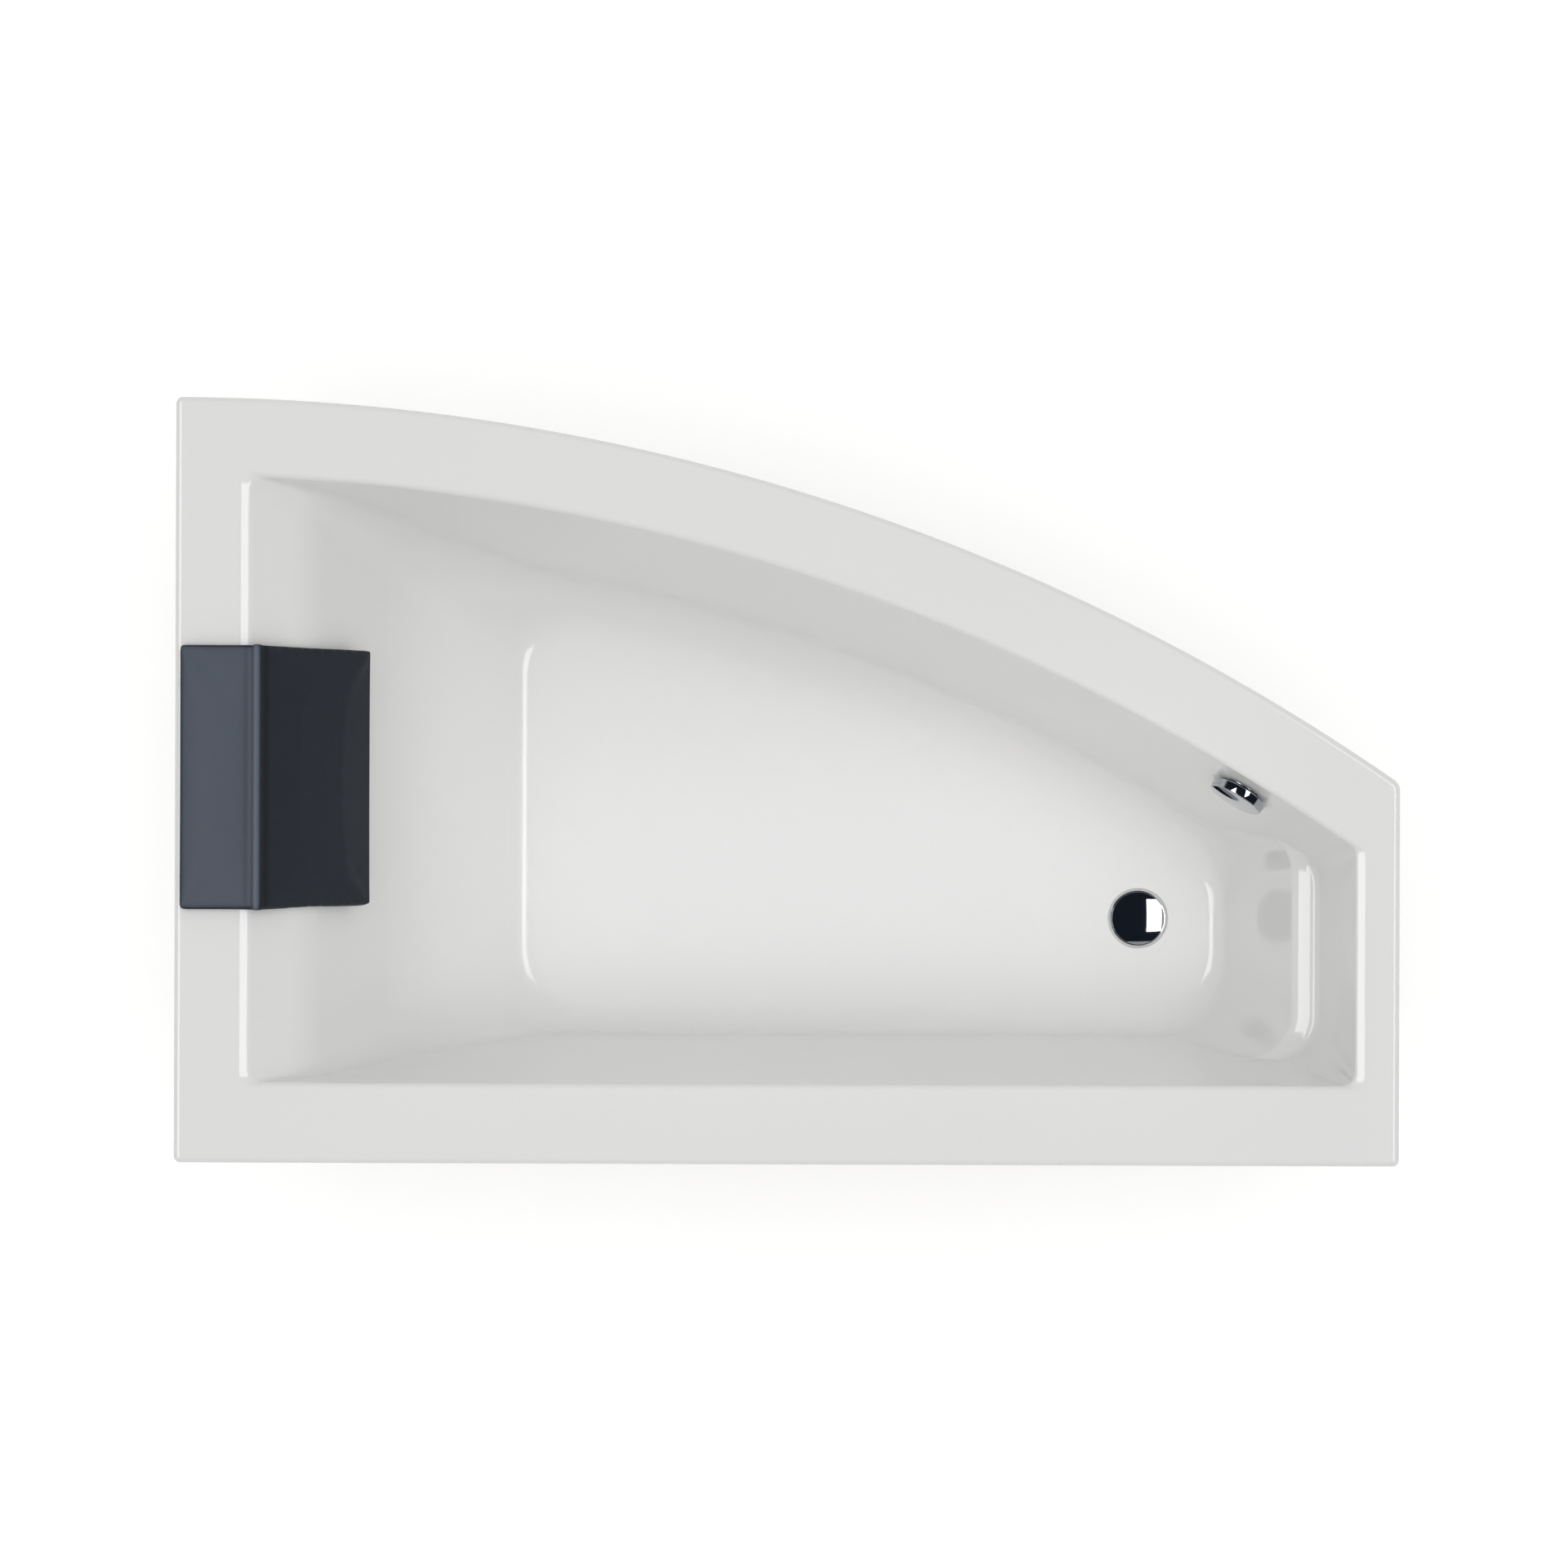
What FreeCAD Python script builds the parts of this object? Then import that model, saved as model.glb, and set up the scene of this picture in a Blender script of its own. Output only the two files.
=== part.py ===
import FreeCAD, Part
import math
import os
import re
from types import SimpleNamespace

import Sketcher
from FreeCAD import Placement, Rotation, Vector

# A handed acrylic corner bath: one straight long wall, one bowed front, a sloping head end and a
# stepped foot end.  Millimetres.  +X runs from the head to the foot, +Y from the straight wall to
# the bowed front, +Z up.  The origin is on the floor under the middle of the rim's outline.

SIZES = {
    # overall
    "tub_length": 1600,
    "tub_width": 1000,
    "foot_width": 500,        # length of the short foot edge, from the straight wall
    "bow_radius": 2810,       # outer edge of the bowed front
    "rim_top": 580,
    "basin_depth": 430,
    "shell_wall": 5,
    "skirt_height": 38,       # height of the rim's turned-down edge
    "rim_edge_round": 8,
    "corner_round": 9,
    "bow_corner_round": 18,   # corner between the bowed front and the foot edge
    # rim widths and wall slopes, the slopes measured from the vertical
    "head_rim": 93,
    "wall_rim": 105,
    "bow_rim": 102,
    "foot_rim": 57,
    "head_lead_slope": 47,    # under the head end's shoulder
    "head_lead_depth": 65,
    "head_slope": 25,         # steepest stretch, behind the bather's back
    "head_back_depth": 300,
    "head_low_slope": 47.5,   # where the backrest runs out on the floor
    "wall_slope": 5,
    "bow_slope": 9,
    "foot_slope": 4.5,
    "foot_lower_slope": 17.5,
    "foot_step_depth": 195,
    "foot_step_drop": 12,
    "foot_step_width": 33,
    # roundings at the top and bottom of each wall
    "head_top_round": 45,
    "head_lead_round": 180,
    "head_low_round": 350,
    "side_top_round": 9,
    "foot_top_round": 19,
    "head_floor_round": 55,
    "wall_floor_round": 42,
    "bow_floor_round": 80,
    "foot_floor_round": 30,
    "foot_crease_round": 12,
    "foot_ledge_round": 16,
    "plan_corner_top": 15,    # corner between two walls at the rim, in plan
    "plan_corner_growth": 0.23,
    # base
    "board_thick": 16,
    "board_margin": 12,
    "batten_thick": 16,
    "batten_width": 60,
    "batten_gap": 12,
    "wall_batten_length": 1180,
    "head_batten_length": 620,
    # cross rails and levelling feet
    "rail_width": 44,
    "rail_depth": 30,
    "rail_sheet": 2,
    "head_rail_place": -300,
    "foot_rail_place": 365,
    "wall_foot_place": -328,
    "head_bow_foot_place": 238,
    "foot_bow_foot_place": 28,
    "rail_overhang": 26,
    "rod_radius": 5,
    "rod_top_gap": 16,        # free height above the rod, taken up when the foot is screwed in
    "rod_clear": 0.15,
    "pad_radius": 24,
    "pad_height": 16,
    "nut_radius": 9.8,
    "nut_height": 8,
    "bush_height": 12,
    "screw_radius": 2,
    "screw_head_radius": 4,
    # waste
    "drain_place": 507,
    "drain_offset": -195,
    "drain_hole_gap": 2.5,    # round the waste flange's throat
    "recess_radius": 43,
    "recess_drop": 4,
    "boss_radius": 52,
    "flange_radius": 40,
    "flange_thick": 2.5,
    "throat_radius": 23.5,
    "throat_wall": 2.5,
    "seal_thick": 1,
    "gasket_thick": 3,
    "plug_radius": 38,
    "plug_rise": 5,
    "stem_radius": 4,
    "stem_clear": 0.15,
    "body_radius": 33,
    "body_depth": 46,
    "body_wall": 3,
    "pipe_radius": 20,
    "pipe_wall": 2.2,
    "trap_bend": 36,
    "trap_low_gap": 8,        # clear height under the trap
    "trap_nut_radius": 28,
    "trap_nut_height": 16,
    "throat_depth": 26,
    "neck_length": 22,
    "port_drop": 26,          # below the housing's top
    "lever_drop": 34,
    "lever_arm": 20,
    "lever_half": 24.5,
    "lever_shaft": 2.5,
    "socket_reach": 50,
    "socket_depth": 12,
    "arm_bend": 22,
    "arm_reach": 62,
    "elbow_lap": 24,
    "outlet_reach": 235,
    "outlet_radius": 25,
    "outlet_wall": 2.5,
    "outlet_bend": 40,
    # overflow and its turning knob
    "overflow_along": 603,
    "overflow_depth": 78,
    "overflow_hole_radius": 27,
    "seat_radius": 42,
    "knob_radius": 39,
    "knob_height": 14,
    "knob_gap": 5,
    "knob_wall": 2.5,
    "shaft_radius": 5,
    "bezel_radius": 35,
    "housing_radius": 37,
    "housing_depth": 34,
    "hose_radius": 16,
    "hose_wall": 2,
    "hose_bend": 70,
    "hose_lap": 16,           # length pushed over each spigot
    "pillar_place": 18,       # overflow screws, each side of the shaft
    "cable_top_drop": 50,
    "cam_reach": 11,
    "hose_behind": 27,        # hose's axis behind the wall's inner face
    "spout_drop": 57,
    "port_reach": 62,
    "cable_radius": 3.5,
    "cable_bend": 85,
    "cable_offset": 27,
    # headrest
    "headrest_width": 342,
    "headrest_middle": 3,
    "headrest_edge_gap": 11,
    "headrest_thick": 15,
    "headrest_clear": 0.5,
    "headrest_reach": 165,    # depth of its lower edge on the sloping head wall
    "headrest_lip": 32,
    "headrest_fold": 117,     # from the rim's outer edge to the fold of its top face
    "cup_radius": 17,
    "cup_height": 6,
}

doc = FreeCAD.newDocument("CornerBath")
sheet = doc.addObject("Spreadsheet::Sheet", "Sizes")
for row, (alias, number) in enumerate(SIZES.items(), start=1):
    sheet.set(f"A{row}", alias)
    sheet.set(f"B{row}", str(number))
    sheet.setAlias(f"B{row}", alias)
doc.recompute()
S = SimpleNamespace(**{alias: float(sheet.get(alias)) for alias in SIZES})


def bound(text):
    """The expression with every size named in it pointed at the sheet."""
    return re.sub(r"[a-z][a-z_]+", lambda m: "Sizes." + m[0] if m[0] in SIZES else m[0], str(text))


def bind(thing, prop, text):
    thing.setExpression(prop, bound(text))


# ---------------------------------------------------------------- building blocks

ADD = "Additive"
CUT = "Subtractive"
UP = Rotation()
ALONG_X = Rotation(Vector(0, 1, 0), 90)
ALONG_Y = Rotation(Vector(1, 0, 0), -90)
nodes = []


class Piece:
    """One separate piece of the bath: a body with a label, a place and the features that shape it."""

    def __init__(self, label, place=None):
        self.body = doc.addObject("PartDesign::Body", label)
        self.body.Label = label
        self.body.Placement = place or Placement()
        self.count = 0
        nodes.append(self.body)

    def _name(self, kind):
        self.count += 1
        return f"{self.body.Name}_{kind}{self.count}"

    def at(self, x, y, z):
        """Binds the body's place to the sheet."""
        for axis, text in zip("xyz", (x, y, z)):
            bind(self.body, f"Placement.Base.{axis}", text)
        return self

    def sketch(self, plane="XY_Plane", lift="0"):
        """An empty sketch on one of the body's own planes, raised along the plane's normal."""
        sketch = self.body.newObject("Sketcher::SketchObject", self._name("sketch"))
        origin = [f for f in self.body.Origin.OriginFeatures if f.Role == plane]
        sketch.AttachmentSupport = [(origin[0], "")]
        sketch.MapMode = "FlatFace"
        bind(sketch, "AttachmentOffset.Base.z", lift)
        return sketch

    def polygon(self, points, plane="XY_Plane", lift="0"):
        """A closed sketch whose corners are bound, one by one, to expressions of the sheet."""
        sketch = self.sketch(plane, lift)
        total = len(points)
        turn = 2 * math.pi / total
        ring = [Vector(20 + 9 * math.cos(turn * k), 9 * math.sin(turn * k), 0) for k in range(total)]
        for k in range(total):
            sketch.addGeometry(Part.LineSegment(ring[k], ring[(k + 1) % total]))
        for k in range(total):
            sketch.addConstraint(Sketcher.Constraint("Coincident", k, 2, (k + 1) % total, 1))
        for k, point in enumerate(points):
            for kind, start, text in zip(("DistanceX", "DistanceY"), ring[k], point):
                number = sketch.addConstraint(Sketcher.Constraint(kind, k, 1, start))
                bind(sketch, f"Constraints[{number}]", text)
        return sketch

    def wire(self, edges, plane="XY_Plane", lift="0"):
        """A sketch that holds the given lines and arcs."""
        sketch = self.sketch(plane, lift)
        sketch.addGeometry(list(edges))
        return sketch

    def pad(self, sketch, length, cut=False, middle=False, back=False):
        """A straight extrusion of a sketch, added or taken away."""
        feature = self.body.newObject("PartDesign::" + ("Pocket" if cut else "Pad"), self._name("pad"))
        feature.Profile = sketch
        bind(feature, "Length", length)
        feature.Midplane = middle
        feature.Reversed = back
        return self

    def turned(self, outline, cut=False):
        """A full turn, about the body's own Z, of an outline of radius and height: corners as
        expressions, or ready edges."""
        corners = isinstance(outline[0], tuple)
        sketch = self.polygon(outline, "XZ_Plane") if corners else self.wire(outline, "XZ_Plane")
        kind = "PartDesign::" + ("Groove" if cut else "Revolution")
        feature = self.body.newObject(kind, self._name("turn"))
        feature.Profile = sketch
        feature.ReferenceAxis = (sketch, ["V_Axis"])
        feature.Angle = 360
        return self

    def solid(self, how, kind, sizes, spot=(0, 0, 0), way=UP):
        """A cylinder, box, cone, torus or sphere, added to or taken from the body."""
        feature = self.body.newObject(f"PartDesign::{how}{kind}", self._name(kind.lower()))
        for prop, text in sizes.items():
            bind(feature, prop, text)
        feature.Placement = Placement(Vector(), way)
        for axis, text in zip("xyz", spot):
            bind(feature, f"Placement.Base.{axis}", text)
        return self

    def cylinder(self, radius, height, spot=(0, 0, 0), way=UP, how=ADD):
        return self.solid(how, "Cylinder", {"Radius": radius, "Height": height}, spot, way)

    def prism(self, radius, height, spot=(0, 0, 0), way=UP, how=ADD):
        """A six-sided bar, its radius taken to the corners."""
        return self.solid(how, "Prism", {"Circumradius": radius, "Height": height}, spot, way)

    def block(self, length, width, height, spot=(0, 0, 0), way=UP, how=ADD):
        """A box centred on the spot in length and width, and standing on it."""
        sizes = {"Length": length, "Width": width, "Height": height}
        x, y, z = spot
        corner = (f"({x}) - ({length}) / 2", f"({y}) - ({width}) / 2", z)
        return self.solid(how, "Box", sizes, corner, way)

    def round(self, radius, chosen):
        """Rounds the edges of the body that the test picks."""
        doc.recompute()
        tip = self.body.Tip
        picked = [f"Edge{n}" for n, edge in enumerate(tip.Shape.Edges, start=1) if chosen(edge)]
        feature = self.body.newObject("PartDesign::Fillet", self._name("fillet"))
        feature.Base = (tip, picked)
        bind(feature, "Radius", radius)
        return self


def fixed(label, shape, place=None):
    """A piece whose form comes from its neighbours, so it is cut to them as a plain shape."""
    feature = doc.addObject("Part::Feature", label)
    feature.Label = label
    feature.Shape = shape
    feature.Placement = place or Placement()
    nodes.append(feature)
    return feature


# ---------------------------------------------------------------- form of the basin

# where the form is drawn within each rounded zone, as shares of the zone's height
TOP_SHARES = (0, 0.03, 0.12, 0.3, 0.6, 1)
BEND_SHARES = (0, 0.5, 1)
LEDGE_SHARES = (0, 0.3, 0.65, 1)
FLOOR_SHARES = (0, 0.435, 0.7, 0.85, 0.945, 0.988, 1)


def unit(dx, dy):
    length = math.hypot(dx, dy)
    return dx / length, dy / length


class WallProfile:
    """One wall of the basin from the flat rim to the flat floor, as inset from the rim's outer
    edge against depth.  Straight stretches meet in corners, each with its own rounding."""

    def __init__(self, corners, rounds, below=0.0):
        """below moves the whole profile that far out of the basin, square to itself."""
        lines = []
        for (i0, d0), (i1, d1) in zip(corners, corners[1:]):
            di, dd = unit(i1 - i0, d1 - d0)
            lines.append((i0 - dd * below, d0 + di * below, di, dd))
        moved = [lines[0][:2]]
        for (i0, d0, a0, b0), (i1, d1, a1, b1) in zip(lines, lines[1:]):
            along = ((i1 - i0) * b1 - (d1 - d0) * a1) / (a0 * b1 - b0 * a1)
            moved.append((i0 + a0 * along, d0 + b0 * along))
        last_inset = corners[-1][0] - lines[-1][3] * below
        moved.append((last_inset, corners[-1][1] + lines[-1][2] * below))
        self.corners = moved
        self.arcs = []
        for k, radius in enumerate(rounds, start=1):
            before, after = lines[k - 1][2:], lines[k][2:]
            side = before[0] * after[1] - before[1] * after[0]
            # a corner that turns down is rounded less on its far side, one that turns up more
            radius = max(radius - below if side > 0 else radius + below, 0.5)
            half = math.acos(max(-1.0, min(1.0, before[0] * after[0] + before[1] * after[1]))) / 2
            reach = radius * math.tan(half)
            inset, depth = moved[k]
            start = (inset - before[0] * reach, depth - before[1] * reach)
            end = (inset + after[0] * reach, depth + after[1] * reach)
            sign = 1 if side > 0 else -1
            centre = (start[0] - sign * before[1] * radius, start[1] + sign * before[0] * radius)
            self.arcs.append((start, end, centre, radius, sign))

    def inset(self, depth):
        """How far the wall stands in from the rim's outer edge at a depth."""
        for start, end, centre, radius, sign in self.arcs:
            if start[1] <= depth <= end[1]:
                across = math.sqrt(max(radius ** 2 - (depth - centre[1]) ** 2, 0.0))
                return centre[0] + sign * across
        stops = [self.corners[0]]
        for start, end, *_ in self.arcs:
            stops += [start, end]
        stops.append(self.corners[-1])
        for (i0, d0), (i1, d1) in zip(stops, stops[1:]):
            if d1 > d0 and d0 - 1e-9 <= depth <= d1 + 1e-9:
                return i0 + (i1 - i0) * (depth - d0) / (d1 - d0)
        return self.floor_edge() if depth > self.arcs[-1][1][1] - 1e-9 else self.arcs[0][0][0]

    def floor_edge(self):
        """Inset at which the flat floor starts."""
        return self.arcs[-1][1][0]


def run(slope_degrees):
    """Inset gained for each millimetre of depth by a wall of that slope."""
    return math.tan(math.radians(slope_degrees))


def straight_profile(rim, slope, top_round, floor_round, below):
    foot = rim + S.basin_depth * run(slope)
    corners = [(rim - 100, 0), (rim, 0), (foot, S.basin_depth), (foot + 200, S.basin_depth)]
    return WallProfile(corners, [top_round, floor_round], below)


def head_profile(below):
    """The backrest: a slanting lead-in below the shoulder, a steeper stretch behind the back and
    a flatter one that runs out on the floor, each bending softly into the next."""
    lead = S.head_rim + S.head_lead_depth * run(S.head_lead_slope)
    small = lead + (S.head_back_depth - S.head_lead_depth) * run(S.head_slope)
    foot = small + (S.basin_depth - S.head_back_depth) * run(S.head_low_slope)
    corners = [(S.head_rim - 100, 0), (S.head_rim, 0), (lead, S.head_lead_depth)]
    corners += [(small, S.head_back_depth), (foot, S.basin_depth), (foot + 200, S.basin_depth)]
    rounds = [S.head_top_round, S.head_lead_round, S.head_low_round, S.head_floor_round]
    return WallProfile(corners, rounds, below)


def foot_profile(below):
    """The foot wall has a ledge: a short flat-lying step between a steep and a slanting part."""
    ledge = S.foot_rim + S.foot_step_depth * run(S.foot_slope)
    lip = ledge + S.foot_step_width
    lip_depth = S.foot_step_depth + S.foot_step_drop
    foot = lip + (S.basin_depth - lip_depth) * run(S.foot_lower_slope)
    corners = [(S.foot_rim - 100, 0), (S.foot_rim, 0), (ledge, S.foot_step_depth)]
    corners += [(lip, lip_depth), (foot, S.basin_depth), (foot + 200, S.basin_depth)]
    rounds = [S.foot_top_round, S.foot_crease_round, S.foot_ledge_round, S.foot_floor_round]
    return WallProfile(corners, rounds, below)


class Basin:
    """The four walls together, on the inner face or a wall's thickness further out."""

    def __init__(self, below=0.0):
        self.below = below
        self.head = head_profile(below)
        self.wall = straight_profile(S.wall_rim, S.wall_slope, S.side_top_round,
                                     S.wall_floor_round, below)
        self.bow = straight_profile(S.bow_rim, S.bow_slope, S.side_top_round,
                                    S.bow_floor_round, below)
        self.foot = foot_profile(below)
        self.sides = (self.head, self.wall, self.foot, self.bow)
        self.floor_depth = S.basin_depth + below

    def corner(self, depth, one, other):
        """Plan radius of the corner between two walls: it grows with depth and shrinks again
        where the floor's roundings draw the walls together."""
        grown = S.plan_corner_top + S.plan_corner_growth * depth + self.below
        drawn = 0.0
        for side in (one, other):
            (inset, floor), line = side.corners[-2], side.arcs[-1][0]
            if depth > line[1]:
                straight = inset - (inset - line[0]) * (floor - depth) / (floor - line[1])
                drawn += (side.inset(depth) - straight) / 2
        return grown - drawn

    def outline(self, depth):
        insets = [side.inset(depth) for side in self.sides]
        head, wall, foot, bow = self.sides
        pairs = ((head, wall), (wall, foot), (foot, bow), (bow, head))
        return outline(*insets, [self.corner(depth, *pair) for pair in pairs])

    def zones(self):
        """Depths at which the form is drawn, from the rim down: close together through the
        roundings at the top and at the floor, the backrest's two bends and the foot's ledge,
        straight walls between."""
        head, foot = self.head.arcs, self.foot.arcs
        spans = (
            (self.below, max(side.arcs[0][1][1] for side in self.sides), TOP_SHARES),
            (head[1][0][1], head[1][1][1], BEND_SHARES),
            (foot[1][0][1], foot[2][1][1], LEDGE_SHARES),
            (head[2][0][1], head[2][1][1], BEND_SHARES),
            (min(side.arcs[-1][0][1] for side in self.sides), self.floor_depth, FLOOR_SHARES),
        )
        zones = []
        for begin, end, shares in spans:
            if zones:
                zones.append([zones[-1][-1], begin])
            zones.append([begin + (end - begin) * share for share in shares])
        return zones


def outline(head, wall, foot, bow, corners):
    """The bath's plan outline drawn in by four insets, with rounded corners in the order
    head-wall, wall-foot, foot-bow, bow-head.  Returns lines and arcs, anticlockwise."""
    left = -S.tub_length / 2 + head
    right = S.tub_length / 2 - foot
    low = -S.tub_width / 2 + wall
    radius = S.bow_radius - bow
    hub = bow_hub()
    r_hw, r_wf, r_fb, r_bh = corners
    up = Vector(0, 0, 1)

    def bow_corner(x, r):
        """Centre of a rounding between the bow and the upright line through x + or - r."""
        return Vector(x, hub.y + math.sqrt((radius - r) ** 2 - (x - hub.x) ** 2), 0)

    def on_bow(centre):
        return hub + (centre - hub).normalize() * radius

    def arc(centre, r, begin, end):
        return Part.ArcOfCircle(Part.Circle(centre, up, r), begin, end)

    def angle(centre, point):
        return math.atan2(point.y - centre.y, point.x - centre.x)

    c_hw = Vector(left + r_hw, low + r_hw, 0)
    c_wf = Vector(right - r_wf, low + r_wf, 0)
    c_fb = bow_corner(right - r_fb, r_fb)
    c_bh = bow_corner(left + r_bh, r_bh)
    p_fb = on_bow(c_fb)
    p_bh = on_bow(c_bh)
    return [
        Part.LineSegment(Vector(c_hw.x, low, 0), Vector(c_wf.x, low, 0)),
        arc(c_wf, r_wf, -math.pi / 2, 0),
        Part.LineSegment(Vector(right, c_wf.y, 0), Vector(right, c_fb.y, 0)),
        arc(c_fb, r_fb, 0, angle(c_fb, p_fb)),
        arc(hub, radius, angle(hub, p_fb), angle(hub, p_bh)),
        arc(c_bh, r_bh, angle(c_bh, p_bh), math.pi),
        Part.LineSegment(Vector(left, c_bh.y, 0), Vector(left, c_hw.y, 0)),
        arc(c_hw, r_hw, math.pi, 1.5 * math.pi),
    ]


def bow_hub():
    """Centre of the bowed front's arc, which is level at the head and ends at the foot edge."""
    lift = S.tub_width - S.foot_width
    chord = math.hypot(S.tub_length, lift)
    middle = Vector(0, S.tub_width / 2 - lift / 2, 0)
    half = math.sqrt(S.bow_radius ** 2 - (chord / 2) ** 2)
    return middle + Vector(-lift, -S.tub_length, 0) * (half / chord)


def bow_inner(x, inset):
    """Y of the bowed front's outline, drawn in by an inset, at a place along the bath."""
    hub = bow_hub()
    return hub.y + math.sqrt((S.bow_radius - inset) ** 2 - (x - hub.x) ** 2)


INNER = Basin()
OUTER = Basin(S.shell_wall)
FLOOR_TOP = "rim_top - basin_depth"
FLOOR_UNDER = "rim_top - basin_depth - shell_wall"
RIM_UNDER = "rim_top - shell_wall"
rim_corners = [S.corner_round, S.corner_round, S.bow_corner_round, S.corner_round]


def overflow_frame():
    """Place of the overflow: its origin on the bowed wall's inner face, its Z out of the wall
    into the basin and its Y up the wall."""
    inset = INNER.bow.inset(S.overflow_depth)
    hub = bow_hub()
    spot = Vector(S.overflow_along, bow_inner(S.overflow_along, inset), S.rim_top - S.overflow_depth)
    inward = Vector(hub.x - spot.x, hub.y - spot.y, 0).normalize()
    tilt = math.radians(S.bow_slope)
    normal = inward * math.cos(tilt) + Vector(0, 0, math.sin(tilt))
    upward = Vector(0, 0, math.cos(tilt)) - inward * math.sin(tilt)
    across = upward.cross(normal)
    return Placement(spot, Rotation(across, upward, normal, "ZXY"))


OVERFLOW = overflow_frame()


def make_shell():
    """Thermoformed acrylic shell: flat rim with a turned-down edge, and the basin hung in it."""
    shell = Piece("tub_shell")
    shell.pad(shell.wire(outline(0, 0, 0, 0, rim_corners), lift="rim_top"), "skirt_height", back=True)
    shell.round("rim_edge_round", lambda edge: abs(edge.BoundBox.ZMin - S.rim_top) < 1e-6)
    wall = S.shell_wall
    hollow = [max(radius - wall, 1.0) for radius in rim_corners]
    under = shell.wire(outline(wall, wall, wall, wall, hollow), lift="rim_top - skirt_height")
    shell.pad(under, "skirt_height - shell_wall", cut=True, back=True)
    for basin, how in ((OUTER, ADD), (INNER, CUT)):
        for number, zone in enumerate(basin.zones()):
            rings = [shell.wire(basin.outline(depth), lift=f"rim_top - {depth:.4f}") for depth in zone]
            loft = shell.body.newObject(f"PartDesign::{how}Loft", f"basin_{how.lower()}_{number}")
            loft.Profile = rings[0]
            loft.Sections = rings[1:]
            loft.Ruled = True
            doc.recompute()
    drain = ("drain_place", "drain_offset")
    boss_base = f"{FLOOR_UNDER} - recess_drop"
    shell.cylinder("boss_radius", "shell_wall + 1", (*drain, boss_base))
    shell.cylinder("recess_radius", "recess_drop + 1", (*drain, f"{FLOOR_TOP} - recess_drop"), how=CUT)
    shell.cylinder("throat_radius + drain_hole_gap", 40, (*drain, f"{FLOOR_UNDER} - 20"), how=CUT)
    seat = OVERFLOW.Base
    way = OVERFLOW.Rotation
    face = way.multVec(Vector(0, 0, 1))
    back = seat - face * (S.shell_wall + 0.5)
    through = seat - face * 30
    shell.cylinder("seat_radius", 3, (back.x, back.y, back.z), way)
    shell.cylinder("seat_radius", 4, (seat.x, seat.y, seat.z), way, CUT)
    shell.cylinder("overflow_hole_radius", 60, (through.x, through.y, through.z), way, CUT)
    return shell


tub_shell = make_shell()
doc.recompute()


# ---------------------------------------------------------------- base, rails and feet

def make_base_board():
    """Chipboard bonded under the floor, cut away round the waste."""
    board = Piece("base_board")
    insets = [side.floor_edge() + S.board_margin for side in OUTER.sides]
    edge = outline(*insets, [30, 30, 30, 30])
    board.pad(board.wire(edge, lift=FLOOR_UNDER), "board_thick", back=True)
    base = f"{FLOOR_UNDER} - board_thick - 1"
    board.cylinder("boss_radius + 6", "board_thick + 2", ("drain_place", "drain_offset", base), how=CUT)
    reach = "tub_length / 2 - drain_place + boss_radius + 6"
    width = "boss_radius + 6 + tub_width / 2"
    gap = (f"tub_length / 2 - ({reach}) / 2", f"drain_offset - boss_radius - 6 + ({width}) / 2", base)
    board.block(reach, width, "board_thick + 2", gap, how=CUT)
    for rail, wall_end, bow_end in RAILS:
        for x, y in screw_places(rail, wall_end, bow_end):
            board.cylinder("screw_radius + 0.05", 14, (x, y, f"{RAIL_TOP} - 1"), how=CUT)
    for x, y in FEET:
        board.cylinder("rod_radius + 1.5", "board_thick + 2", (x, y, base), how=CUT)
    return board


RAIL_TOP = f"{FLOOR_UNDER} - board_thick"
RAILS = (
    ("head_rail_place", "wall_foot_place", "head_bow_foot_place"),
    ("foot_rail_place", "wall_foot_place", "foot_bow_foot_place"),
)
FEET = [(rail, y) for rail, wall_end, bow_end in RAILS for y in (wall_end, bow_end)]


def screw_places(rail, wall_end, bow_end):
    """Four wood screws a rail, in two pairs between its feet."""
    span = f"(({bow_end}) - ({wall_end}))"
    for share in (0.22, 0.72):
        for side in (-1, 1):
            yield f"{rail} + {side} * rail_width * 0.22", f"{wall_end} + {span} * {share}"


def make_rail(label, rail, wall_end, bow_end):
    """Folded steel channel, open downwards, with a hole for the levelling rod near each end."""
    piece = Piece(label)
    half, low = "rail_width / 2", "-rail_depth"
    inner = f"{half} - rail_sheet"
    channel = [(f"-({half})", low), (f"-({inner})", low), (f"-({inner})", "-rail_sheet"),
               (inner, "-rail_sheet"), (inner, low), (half, low), (half, 0), (f"-({half})", 0)]
    length = f"{bow_end} - ({wall_end}) + 2 * rail_overhang"
    sketch = piece.polygon(channel, "XZ_Plane", f"-({bow_end}) - rail_overhang")
    piece.pad(sketch, length)
    piece.round("rail_sheet / 2", lambda edge: edge.Length > 100 and edge.BoundBox.ZMin > -1e-6)
    for y in (wall_end, bow_end):
        piece.cylinder("rod_radius + 0.5", "rail_sheet + 2", (0, y, "-rail_sheet - 1"), how=CUT)
    for x, y in screw_places(0, wall_end, bow_end):
        piece.cylinder("screw_radius + 0.3", "rail_sheet + 2", (x, y, "-rail_sheet - 1"), how=CUT)
    return piece.at(rail, 0, RAIL_TOP)


def make_rail_screws():
    """Pan-head wood screws that hold the rails to the board, as one group."""
    screws = Piece("rail_screws")
    for rail, wall_end, bow_end in RAILS:
        for x, y in screw_places(rail, wall_end, bow_end):
            under = f"{RAIL_TOP} - rail_sheet"
            screws.cylinder("screw_radius", "rail_sheet + 11", (x, y, under))
            screws.cylinder("screw_head_radius", 2, (x, y, f"{under} - 2"))
    return screws


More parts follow.
